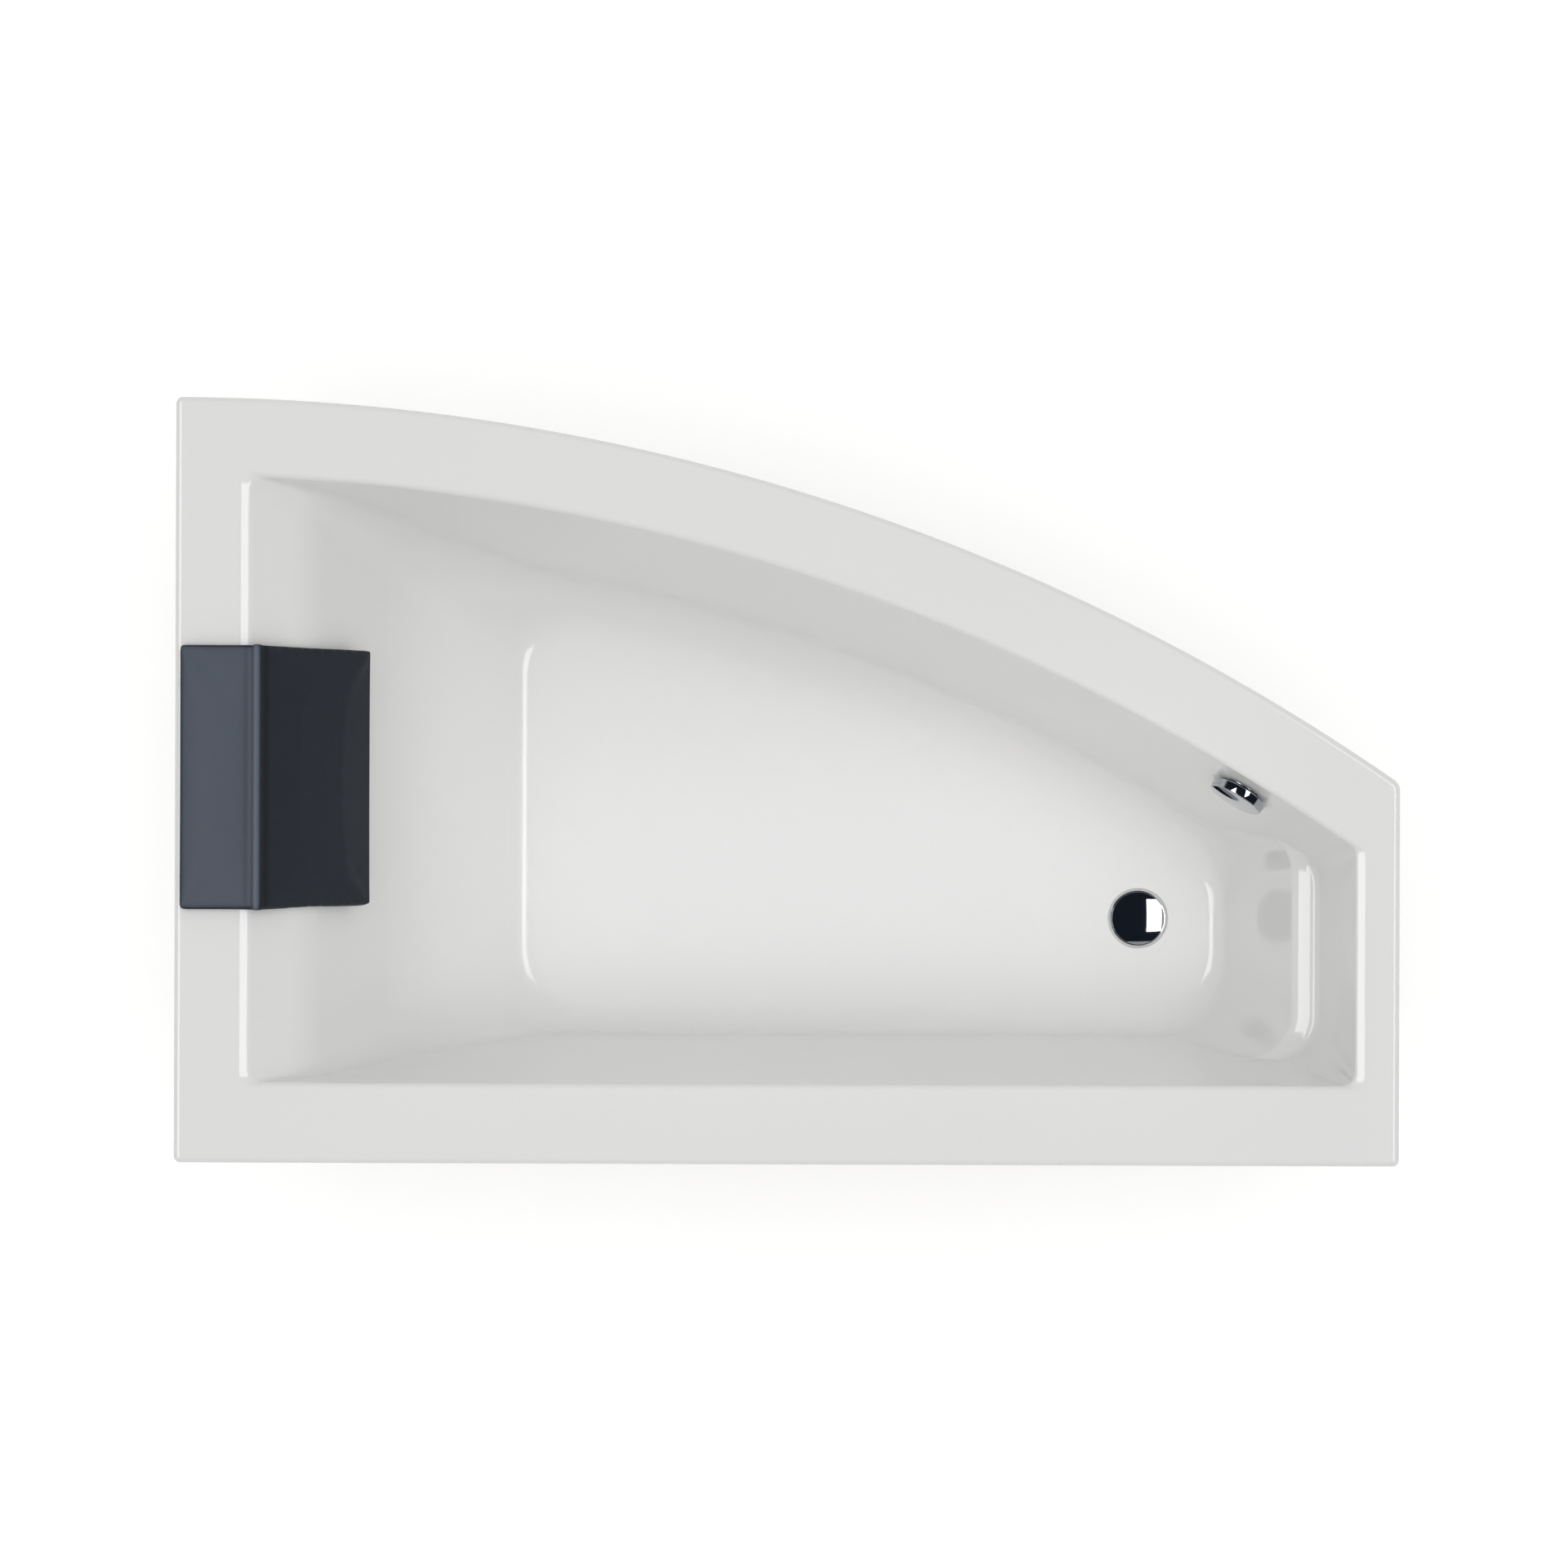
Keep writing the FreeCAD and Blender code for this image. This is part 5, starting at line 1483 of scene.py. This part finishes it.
def threaded_rod() -> bpy.types.NodeTree:
    """Upright rod with a helical thread; the base geometry is its core.

    Returns:
        The node group.
    """
    depth_per_pitch, steps_per_turn, tooth_sides = 0.56, 20, 4
    builder = Builder("threaded_rod", {"Radius": (FLOAT, 0.005), "Pitch": (FLOAT, 0.0015),
                                       "Length": (FLOAT, 0.12), "Lift": (FLOAT, 0.007)})
    g = builder.graph
    turns = g.math("DIVIDE", builder["Length"], builder["Pitch"])
    deep = g.math("MULTIPLY", builder["Pitch"], depth_per_pitch)
    middle = g.math("SUBTRACT", builder["Radius"], deep)
    helix = g.add("GeometryNodeCurveSpiral", {"Resolution": steps_per_turn, "Rotations": turns,
                                              "Start Radius": middle, "End Radius": middle,
                                              "Height": builder["Length"]}).outputs[0]
    helix = g.add("GeometryNodeSetCurveNormal", {"Curve": helix}, mode="Z_UP").outputs[0]
    tooth = g.add("GeometryNodeCurvePrimitiveCircle", {"Resolution": tooth_sides, "Radius": deep})
    ridge = g.add("GeometryNodeCurveToMesh", {"Curve": helix, "Profile Curve": tooth.outputs[0],
                                              "Fill Caps": True}).outputs[0]
    raised = g.add("ShaderNodeCombineXYZ", {2: builder["Lift"]}).outputs[0]
    ridge = g.add("GeometryNodeTransform", {"Geometry": ridge, "Translation": raised}).outputs[0]
    whole = g.add("GeometryNodeJoinGeometry")
    g.tree.links.new(ridge, whole.inputs[0])
    g.tree.links.new(builder["Geometry"], whole.inputs[0])
    return builder.end(whole.outputs[0], Finish.ZINC)


# ---------------------------------------------------------------- chromed fittings

@dataclass
class Fittings:
    """The chromed pieces of the waste and the overflow, each smooth and exactly where its node is.

    The outlines give radius, height and rounding in millimetres.  Heights count from the flange's
    underside, from the plug's, or from the overflow's seat.
    """

    sizes: BathSizes
    drain_top: float = 149.5
    flange_low: float = 147.0
    stem_low: float = 107.4
    bore: float = 21.0
    throat: float = 23.5
    thread_depth: float = 0.8
    thread_turns: int = 22
    spokes: int = 4
    hole_circle: float = 18.0
    screw_hole: float = 2.2
    slot_turn: int = 36
    slot_half: float = 2.5
    slot_stretch: float = 2.2

    def build(self) -> None:
        """Builds every fitting, rides it on its body and lets it stand for its node."""
        self._stand(self._flange(), "waste_flange", "root")
        self._stand(self._plug(), "waste_plug", "plug")
        self._stand(self._stem(), "plug_stem", "plug")
        self._stand(self._knob(), "overflow_knob", "knob")
        self._stand(self._bezel(), "overflow_bezel", "root")
        self._stand(self._screws(), "overflow_screws", "root")

    def _stand(self, piece: Piece, node: str, body: str) -> None:
        """Lets a piece stand for a node.

        Args:
            piece: The piece.
            node: The node.
            body: The body that it rides on.
        """
        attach(piece, body)
        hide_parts(node)
        LOG.info("%s: %d faces on %s", node, len(piece.data.polygons), body)

    def _at_drain(self, mesh: Mesh, height: float) -> Mesh:
        """Moves a mesh to the drain's axis at a height and returns it."""
        return placed(mesh, shift(self.sizes.drain_x, self.sizes.drain_y, height))

    def _flange(self) -> Piece:
        """Dished flange with its throat, whose outside is threaded, and the spokes that guide the stem.

        Returns:
            The piece.
        """
        low, bore, throat = -26.0, self.bore, self.throat
        thread = [(throat - self.thread_depth * (k % 2), low + k, 0.0)
                  for k in range(1, self.thread_turns + 1)]
        dish = [(throat, -2.5, 0.0), (throat, 0.0, 0.0), (40.0, 0.0, 0.6), (40.0, 2.5, 0.9),
                (31.5, 2.5, 5.0), (bore, 0.5, 1.2)]
        guide = [(4.15, -25, 0.3), (7, -25, 0.5), (7, -17, 0.8), (4.15, -17, 0.3)]
        side = [(bore, low, 0.3), *thread, *dish]
        meshes = [turned(rounded(side, 6), 128), turned(rounded(guide, 3), 48)]
        for turn in range(self.spokes):
            bar = block((15.5, 2.4, 6.0), (13.8, 0.0, -22.0), 0.4)
            meshes.append(placed(bar, spin(turn * math.pi / 2)))
        return mesh_object("flange", self._at_drain(joined(meshes), self.flange_low), Finish.CHROME)

    def _plug(self) -> Piece:
        """Domed cap whose rim is softly rounded, with the seal's groove underneath.

        Returns:
            The piece.
        """
        side = [(4.0, 2.0, 0.0), (4.0, 0.3, 0.0), (32.5, 0.3, 0.0), (32.5, 1.6, 0.0), (37.5, 1.6, 0.0),
                (37.5, 0.3, 0.0), (38.0, 0.3, 0.3), (38.0, 3.2, 0.35)]
        outline = rounded(side, 4) + dome(37.6, 3.35, 3.45, 24) + [(0.0, 2.0)]
        return mesh_object("plug_cap", self._at_drain(turned(outline, 160), self.drain_top), Finish.CHROME)

    def _stem(self) -> Piece:
        """The plug's stem, rounded where the lever's toe lifts it.

        Returns:
            The piece.
        """
        low, top = self.stem_low - self.drain_top, 2.0
        outline = rounded([(0.0, low, 0.0), (4.0, low, 1.5), (4.0, top, 0.0), (0.0, top, 0.0)])
        return mesh_object("stem", self._at_drain(turned(outline, 48), self.drain_top), Finish.CHROME)

    def _knob(self) -> Piece:
        """Turning cap: a shallow crown, a soft shoulder and a hollow back with its hub.

        Returns:
            The piece.
        """
        side = [(0.0, 8.0, 0.0), (9.0, 8.0, 0.5), (9.0, 14.0, 0.8), (30.0, 14.0, 1.0), (35.0, 11.5, 1.0),
                (36.4, 5.0, 0.8), (39.0, 5.0, 0.9), (36.6, 17.1, 1.0)]
        outline = rounded(side, 6) + dome(35.6, 17.2, 1.8, 18)
        return mesh_object("knob", placed(turned(outline, 160), overflow_place(self.sizes)), Finish.CHROME)

    def _bezel(self) -> Piece:
        """Flat rosette behind the knob, slotted for the water, with a bush for the knob's shaft.

        Returns:
            The piece.
        """
        outline = [(5.08, -14.0, 0.3), (8.0, -14.0, 0.8), (8.0, 0.0, 0.0), (35.0, 0.0, 0.4),
                   (35.0, 3.0, 1.2), (5.08, 3.0, 0.3)]
        piece = mesh_object("bezel", turned(rounded(outline), 128), Finish.CHROME)
        long = Matrix.Diagonal((self.slot_stretch, 1.0, 1.0, 1.0))
        for turn in range(self.slot_turn, 360, self.slot_turn):
            if turn != 180:
                slot = plain_disc(self.slot_half, -4, 8, 24)
                slot.transform(shift(self.hole_circle) @ long)
                cut(piece, placed(slot, spin(math.radians(turn))))
        for side in (-self.hole_circle, self.hole_circle):
            cut(piece, placed(plain_disc(self.screw_hole, -4, 8, 24), shift(side)))
        return self._finished(piece)

    def _screws(self) -> Piece:
        """Two pan-head screws with cross recesses.

        Returns:
            The piece.
        """
        outline = rounded([(0, -27, 0), (1.2, -27, 0), (2, -25, 0), (2, 3, 0), (3.8, 3, 0), (3.8, 4.8, 1.0),
                           (0, 4.8, 0)])
        sides = (-self.hole_circle, self.hole_circle)
        meshes = [placed(turned(outline, 48), shift(side)) for side in sides]
        piece = mesh_object("screws", joined(meshes), Finish.ZINC)
        wing = Matrix.Diagonal((3.6, 0.9, 1.0, 1.0))
        for side in sides:
            for turn in (0.5, 0.5 + math.pi / 2):
                groove = turned([(0, 3.6), (0.55, 3.6), (0.8, 6), (0, 6)], 4)
                cut(piece, placed(groove, shift(side) @ (spin(turn) @ wing)))
        return self._finished(piece)

    def _finished(self, piece: Piece) -> Piece:
        """Moves a piece made in the overflow's own frame into place, its edges crisp.

        Args:
            piece: The piece.

        Returns:
            The same piece.
        """
        placed(piece.data, overflow_place(self.sizes))
        shade(piece.data, 40.0)
        return piece


# ---------------------------------------------------------------- hose, cable and feet

@dataclass(frozen=True)
class Line:
    """What sets the hose and the cable apart; radius, length and ribs in metres, the rest in millimetres.

    The top is where the line starts, in the overflow's own frame; beside is how far it lies beside the
    hose; reach is the distance of its end from the drain's axis.
    """

    name: str
    node: str
    slot: str
    finish: Finish
    top: Triple
    beside: float
    reach: float
    radius: float
    length: float
    ribs: tuple[float, float]
    sides: int


HOSE = Line("hose", "overflow_hose", "hose_plastic", Finish.GREY_PLASTIC, (0.0, -41.0, -27.0), 0.0, 46.0,
            0.016, 0.459, (0.0018, 0.0062), 40)
CABLE = Line("cable", "bowden_cable", "black_plastic", Finish.BLACK_PLASTIC, (0.0, -50.0, -27.0), 27.0,
             38.0, 0.0035, 0.453, (0.00022, 0.0021), 14)


@dataclass
class WasteLines:
    """The ribbed overflow hose and the sheathed cable beside it, from the overflow to the waste."""

    sizes: BathSizes
    corner: Triple = (585.1, -37.6, 112.0)
    sharp: float = 80.0

    def build(self) -> None:
        for line in (HOSE, CABLE):
            self._lay(line)

    def _route(self, line: Line) -> list[Vector]:
        """Points of a line's route: its top, a point above the corner, the corner and its end.

        Args:
            line: The line.

        Returns:
            The points in millimetres.
        """
        x, y, level = self.corner
        way = Vector((x - self.sizes.drain_x, y - self.sizes.drain_y, 0.0)).normalized()
        beside = Vector((way.y, -way.x, 0.0)) * line.beside
        start = overflow_place(self.sizes) @ (Vector(line.top) * MM) / MM + beside
        corner = Vector(self.corner) + beside
        end = Vector((self.sizes.drain_x, self.sizes.drain_y, level)) + beside + way * line.reach
        return [start, corner + (start - corner).normalized() * (end - corner).length, corner, end]

    def _lay(self, line: Line) -> None:
        """Args:
            line: The line.
        """
        route = self._route(line)
        curve = curve_of(route)
        points = spline_points(curve)
        sizes = {"Radius": line.radius, "Rib height": line.ribs[0], "Rib pitch": line.ribs[1],
                 "Sides": line.sides}
        piece = grown(line.name, curve, ribbed_tube(line.finish), sizes, line.finish, self.sharp)
        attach(piece, "root")
        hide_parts(line.node)
        LOG.info("%s: %d faces along %d points", line.name, len(piece.data.polygons), len(points))


@dataclass
class Feet:
    """The threaded rods of the four levelling feet, sizes in millimetres."""

    places: tuple[Point, ...] = ((-300.0, -328.0), (-300.0, 238.0), (365.0, -328.0), (365.0, 28.0))
    radius: float = 5.0
    core_radius: float = 4.0
    pitch: float = 1.5
    low: float = 6.0
    top: float = 129.0
    bare_low: float = 1.0
    bare: float = 3.0
    slot: Triple = (14.0, 1.6, 5.0)
    sharp: float = 35.0

    def build(self) -> None:
        """Builds one rod for each foot and lets it ride with its foot."""
        tree = threaded_rod()
        sizes = {"Radius": self.radius * MM, "Pitch": self.pitch * MM,
                 "Length": (self.top - self.low - self.bare) * MM, "Lift": (self.low + self.bare_low) * MM}
        for number, (x, y) in enumerate(self.places, start=1):
            piece = grown(f"threaded_rod_{number}", self._core(), tree, sizes, Finish.ZINC, self.sharp)
            placed(piece.data, shift(x, y))
            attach(piece, f"foot_{number}")
            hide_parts(f"foot_rod_{number}")
            LOG.info("rod %d: %d faces", number, len(piece.data.polygons))

    def _core(self) -> Mesh:
        """The rod without its thread, slotted across the top for a screwdriver.

        Returns:
            The mesh, in metres.
        """
        radius, low, top = self.core_radius, self.low, self.top
        outline = [(0.0, low, 0.0), (radius, low, 0.4), (radius, top, 0.9), (0.0, top, 0.0)]
        core = mesh_object("core", turned(rounded(outline), 40), Finish.ZINC)
        cut(core, block(self.slot, (0.0, 0.0, top)))
        mesh = core.data.copy()
        bpy.data.objects.remove(core)
        return mesh


# ---------------------------------------------------------------- headrest

@dataclass
class Headrest:
    """Soft pad folded over the head rim: a flat panel, a narrow welt at the fold and a sloping panel.

    Sizes are in metres; the welt's place counts from the bath's head edge.
    """

    edge: float = -0.8
    voxel: float = 0.0042
    shrink: float = 0.0015
    pressure: float = 2.6
    stiffness: float = 40.0
    bending: float = 6.0
    frames: int = 20
    most: float = 0.005
    held_facing: float = -0.15
    held_near: float = 0.6
    smoothing: int = 6
    welt: Point = (0.1040, 0.1165)
    welt_rise: float = 0.0024
    groove: float = 0.0014
    groove_half: float = 0.0045
    groove_fade: float = 0.04
    proud: float = 0.0015

    def build(self) -> None:
        """Builds the pad and lets it stand for its plain solid."""
        low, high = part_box("headrest_cushion")
        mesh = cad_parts["headrest_cushion"].data.copy()
        tidy_mesh(mesh, 1e-5)
        self._shrink(mesh)
        piece = mesh_object("headrest_pad", mesh, Finish.PAD, sharp=None)
        remesh = piece.modifiers.new("even", "REMESH")
        remesh.mode = "VOXEL"
        remesh.voxel_size = self.voxel
        settle(piece)
        self._inflate(piece)
        self._soften(piece)
        self._fill_out(piece.data, low, high)
        self._sew(piece.data)
        piece.data.materials.clear()
        piece.data.materials.append(Finish.PAD.material())
        piece.data.shade_smooth()
        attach(piece, "headrest")
        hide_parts("headrest_cushion")
        LOG.info("headrest: %d faces", len(piece.data.polygons))

    def _shrink(self, mesh: Mesh) -> None:
        """Draws every point in along its normal, since the pad swells later.

        Args:
            mesh: The pad.
        """
        work = bmesh.new()
        work.from_mesh(mesh)
        work.normal_update()
        for vertex in work.verts:
            vertex.co -= vertex.normal * self.shrink
        work.to_mesh(mesh)
        work.free()

    def _held(self, vertex: bpy.types.MeshVertex) -> bool:
        """Whether a point is held still: all the underside, and the seams beside the welt.

        Args:
            vertex: The point.

        Returns:
            True where it is held.
        """
        along = vertex.co.x - self.edge
        near = min(abs(along - seam) for seam in self.welt)
        return vertex.normal.z < self.held_facing or near < self.held_near * self.voxel

    def _inflate(self, piece: Piece) -> None:
        """Swells the pad by air pressure between its seams.

        Args:
            piece: The pad.
        """
        starts = [vertex.co.copy() for vertex in piece.data.vertices]
        group = piece.vertex_groups.new(name="held")
        group.add([v.index for v in piece.data.vertices if self._held(v)], 1.0, "REPLACE")
        cloth = piece.modifiers.new("swell", "CLOTH")
        cloth.settings.vertex_group_mass = "held"
        cloth.settings.use_pressure = True
        cloth.settings.uniform_pressure_force = self.pressure
        cloth.settings.effector_weights.gravity = 0.0
        cloth.settings.tension_stiffness = self.stiffness
        cloth.settings.compression_stiffness = self.stiffness
        cloth.settings.bending_stiffness = self.bending
        cloth.collision_settings.use_collision = False
        scene = bpy.context.scene
        for number in range(1, self.frames + 1):
            scene.frame_set(number)
        settle(piece)
        piece.vertex_groups.clear()
        for vertex, start in zip(piece.data.vertices, starts):
            move = vertex.co - start
            if move.length > self.most:
                vertex.co = start + move * (self.most / move.length)
        scene.frame_set(1)

    def _soften(self, piece: Piece) -> None:
        """Rounds the edges as foam rounds, and makes the mesh finer.

        Args:
            piece: The pad.
        """
        smooth = piece.modifiers.new("round", "SMOOTH")
        smooth.factor = 0.5
        smooth.iterations = self.smoothing
        finer = piece.modifiers.new("finer", "SUBSURF")
        finer.levels = finer.render_levels = 1
        settle(piece)

    def _fill_out(self, mesh: Mesh, low: Vector, high: Vector) -> None:
        """Stretches the pad level to the length and width that it fills.

        Args:
            mesh: The pad.
            low: Lowest corner of its place.
            high: Highest corner of its place.
        """
        for axis in (0, 1):
            values = [vertex.co[axis] for vertex in mesh.vertices]
            least, most = min(values), max(values)
            start, length = low[axis] - self.proud, high[axis] - low[axis] + 2 * self.proud
            for vertex in mesh.vertices:
                vertex.co[axis] = start + (vertex.co[axis] - least) * length / (most - least)

    def _sew(self, mesh: Mesh) -> None:
        """Raises the welt and draws in the seam on each side of it.

        Args:
            mesh: The pad.
        """
        low, high = self.welt
        middle, half = (low + high) / 2, (high - low) / 2
        normals = [vertex.normal.copy() for vertex in mesh.vertices]
        for vertex, normal in zip(mesh.vertices, normals):
            if normal.z < 0.1:
                continue
            along = vertex.co.x - self.edge
            off = (along - middle) / half
            rise = self.welt_rise * (1.0 - off ** 4) if abs(off) < 1.0 else 0.0
            rise -= self.groove * math.exp(-(((along - low + self.groove_half) / self.groove_half) ** 2))
            if along > high:
                rise -= self.groove * math.exp((high - along) / self.groove_fade)
            vertex.co += normal * rise * min(1.0, normal.z / 0.5)
        mesh.update()


NODE_FINISHES: dict[str, Finish] = {
    name: finish for finish, names in (
        (Finish.CHIPBOARD, ("base_board", "wall_rim_batten", "head_rim_batten")),
        (Finish.ZINC, ("head_cross_rail", "foot_cross_rail", "rail_screws", "foot_bushes", "foot_lock_nuts",
                       "wall_clips", "overflow_screws", "knob_shaft", "foot_rod_1", "foot_rod_2",
                       "foot_rod_3", "foot_rod_4")),
        (Finish.WHITE_PLASTIC, ("waste_body", "trap_nut", "trap_body", "outlet_elbow", "overflow_housing",
                                "hose_nuts", "lift_lever")),
        (Finish.BLACK_PLASTIC, ("foot_pad_1", "foot_pad_2", "foot_pad_3", "foot_pad_4", "drive_cam",
                                "cable_clips", "bowden_cable")),
        (Finish.CHROME, ("waste_flange", "waste_plug", "overflow_bezel", "overflow_knob", "plug_stem")),
        (Finish.RUBBER, ("waste_flange_seal", "waste_gasket", "trap_seal", "outlet_seal", "overflow_gasket",
                         "plug_seal", "headrest_suction_cups")),
        (Finish.GREY_PLASTIC, ("overflow_hose",)),
        (Finish.PAD, ("headrest_cushion",)),
    ) for name in names
}


# ---------------------------------------------------------------- studio

@dataclass
class Studio:
    """A plain pale floor, soft lights and the camera straight above the bath, in metres."""

    eye: Triple = (-0.0046, -0.003, 4.58)
    lens: float = 70.45
    sensor: float = 36.0
    roll: float = 0.2
    floor_half: float = 14.0
    floor_paint: Colour = (0.82, 0.82, 0.815)
    floor_glow: float = 0.46
    white: Colour = (1.0, 1.0, 0.995)
    gloss_radiance: float = 4.6
    fill_radiance: float = 1.64
    basin_radiance: float = 0.105
    basin_spread: float = 9.0
    room: float = 0.50
    horizon: Colour = (0.80, 0.80, 0.80)
    overhead: Colour = (0.012, 0.016, 0.024)
    sky_span: Span = (0.04, 0.34)

    def build(self) -> None:
        """Builds the floor, the lights, the surroundings and the camera."""
        self._floor()
        for name, spot, size in (("softbox_head", (-4.60, -0.55, 8.0), (4.10, 5.4)),
                                 ("softbox_foot", (3.52, -0.20, 8.0), (2.20, 3.8))):
            box = self._area(name, spot, size, self.gloss_radiance)
            box.visible_diffuse = False
            self._seen_once(box.data)
        above = self._area("overhead", (0.0, 0.0, 7.5), (6.0, 6.0), self.fill_radiance)
        above.visible_glossy = False
        inner = self._area("basin_fill", (0.03, -0.12, 3.2), (1.05, 0.40), self.basin_radiance)
        inner.data.spread = math.radians(self.basin_spread)
        inner.visible_glossy = False
        self._surroundings()
        self._camera()

    def _area(self, name: str, spot: Sequence[float], size: Point, radiance: float) -> Piece:
        """Adds one soft rectangular light that faces down.

        Args:
            name: The light's name.
            spot: Its place.
            size: Its width and length.
            radiance: How bright its face is.

        Returns:
            The lamp.
        """
        light = bpy.data.lights.new(name, "AREA")
        light.shape = "RECTANGLE"
        light.size, light.size_y = size
        light.energy = radiance * math.pi * size[0] * size[1]
        lamp = linked(name, light)
        lamp.location = spot
        return lamp

    def _seen_once(self, light: bpy.types.Light) -> None:
        """Lets a light show in a glossy surface, but not in what that surface mirrors.

        Args:
            light: The light.
        """
        light.use_nodes = True
        graph = Graph(light.node_tree)
        bounces = graph.add("ShaderNodeLightPath").outputs["Glossy Depth"]
        strength = graph.math("LESS_THAN", bounces, 1.5)
        glow = graph.add("ShaderNodeEmission", {"Strength": strength}).outputs[0]
        graph.add("ShaderNodeOutputLight", {"Surface": glow})

    def _floor(self) -> None:
        """Adds the pale floor, which stays white to the camera away from the bath's shadow."""
        half = self.floor_half
        mesh = bpy.data.meshes.new("floor")
        mesh.from_pydata([(-half, -half, 0), (half, -half, 0), (half, half, 0), (-half, half, 0)], [],
                         [(0, 1, 2, 3)])
        material = bpy.data.materials.new("studio_floor")
        material.use_nodes = True
        graph = Graph(material.node_tree)
        paint = graph.add("ShaderNodeBsdfDiffuse", {"Color": (*self.floor_paint, 1.0)}).outputs[0]
        light = {"Color": (*self.white, 1.0), "Strength": self.floor_glow}
        glow = graph.add("ShaderNodeEmission", light).outputs[0]
        path = graph.add("ShaderNodeLightPath")
        seen = graph.math("MAXIMUM", path.outputs["Is Camera Ray"], path.outputs["Is Glossy Ray"])
        seen = graph.math("MAXIMUM", seen, path.outputs["Is Transmission Ray"])
        none = graph.add("ShaderNodeEmission", {"Strength": 0.0}).outputs[0]
        extra = graph.add("ShaderNodeMixShader", {0: seen, 1: none, 2: glow}).outputs[0]
        both = graph.add("ShaderNodeAddShader", {0: paint, 1: extra}).outputs[0]
        graph.add("ShaderNodeOutputMaterial", {"Surface": both})
        mesh.materials.append(material)
        linked("floor", mesh)

    def _surroundings(self) -> None:
        """A room that is pale at the horizon and dark blue-grey overhead, where only gloss shows it."""
        world = bpy.data.worlds.new("room")
        bpy.context.scene.world = world
        world.use_nodes = True
        graph = Graph(world.node_tree)
        height = graph.part(graph.add("ShaderNodeTexCoord").outputs["Generated"], "Z")
        sky = graph.blend(graph.span(height, *self.sky_span), self.horizon, self.overhead)
        glows = ((sky, 1.0), ((1.0, 1.0, 1.0, 1.0), self.room), ((*self.white, 1.0), 1.0))
        mirrored, plain, behind = (
            graph.add("ShaderNodeBackground", {"Color": colour, "Strength": strength}).outputs[0]
            for colour, strength in glows)
        path = graph.add("ShaderNodeLightPath")
        glossy = path.outputs["Is Glossy Ray"]
        lit = graph.add("ShaderNodeMixShader", {0: glossy, 1: plain, 2: mirrored}).outputs[0]
        seen = graph.math("MAXIMUM", path.outputs["Is Camera Ray"], path.outputs["Is Transmission Ray"])
        final = graph.add("ShaderNodeMixShader", {0: seen, 1: lit, 2: behind}).outputs[0]
        graph.add("ShaderNodeOutputWorld", {"Surface": final})

    def _camera(self) -> None:
        """Adds the camera and makes it the scene's own."""
        camera = linked("camera", bpy.data.cameras.new("camera"))
        camera.data.sensor_width = self.sensor
        camera.data.lens = self.lens
        camera.data.clip_end = 100.0
        camera.location = self.eye
        camera.rotation_euler = (0.0, 0.0, math.radians(self.roll))
        bpy.context.scene.camera = camera


# ---------------------------------------------------------------- the whole bath

def main() -> None:
    """Builds the bath piece by piece and reports each one."""
    bpy.context.scene.view_settings.view_transform = "Standard"
    Studio().build()
    shell = TubShell(BATH).build()
    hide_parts("tub_shell")
    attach(shell, "root")
    LOG.info("tub shell: %d faces", len(shell.data.polygons))
    Fittings(BATH).build()
    WasteLines(BATH).build()
    Feet().build()
    Headrest().build()
    for name, finish in NODE_FINISHES.items():
        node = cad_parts[name]
        node.data.materials.clear()
        node.data.materials.append(finish.material())


if __name__ == "__main__":
    main()
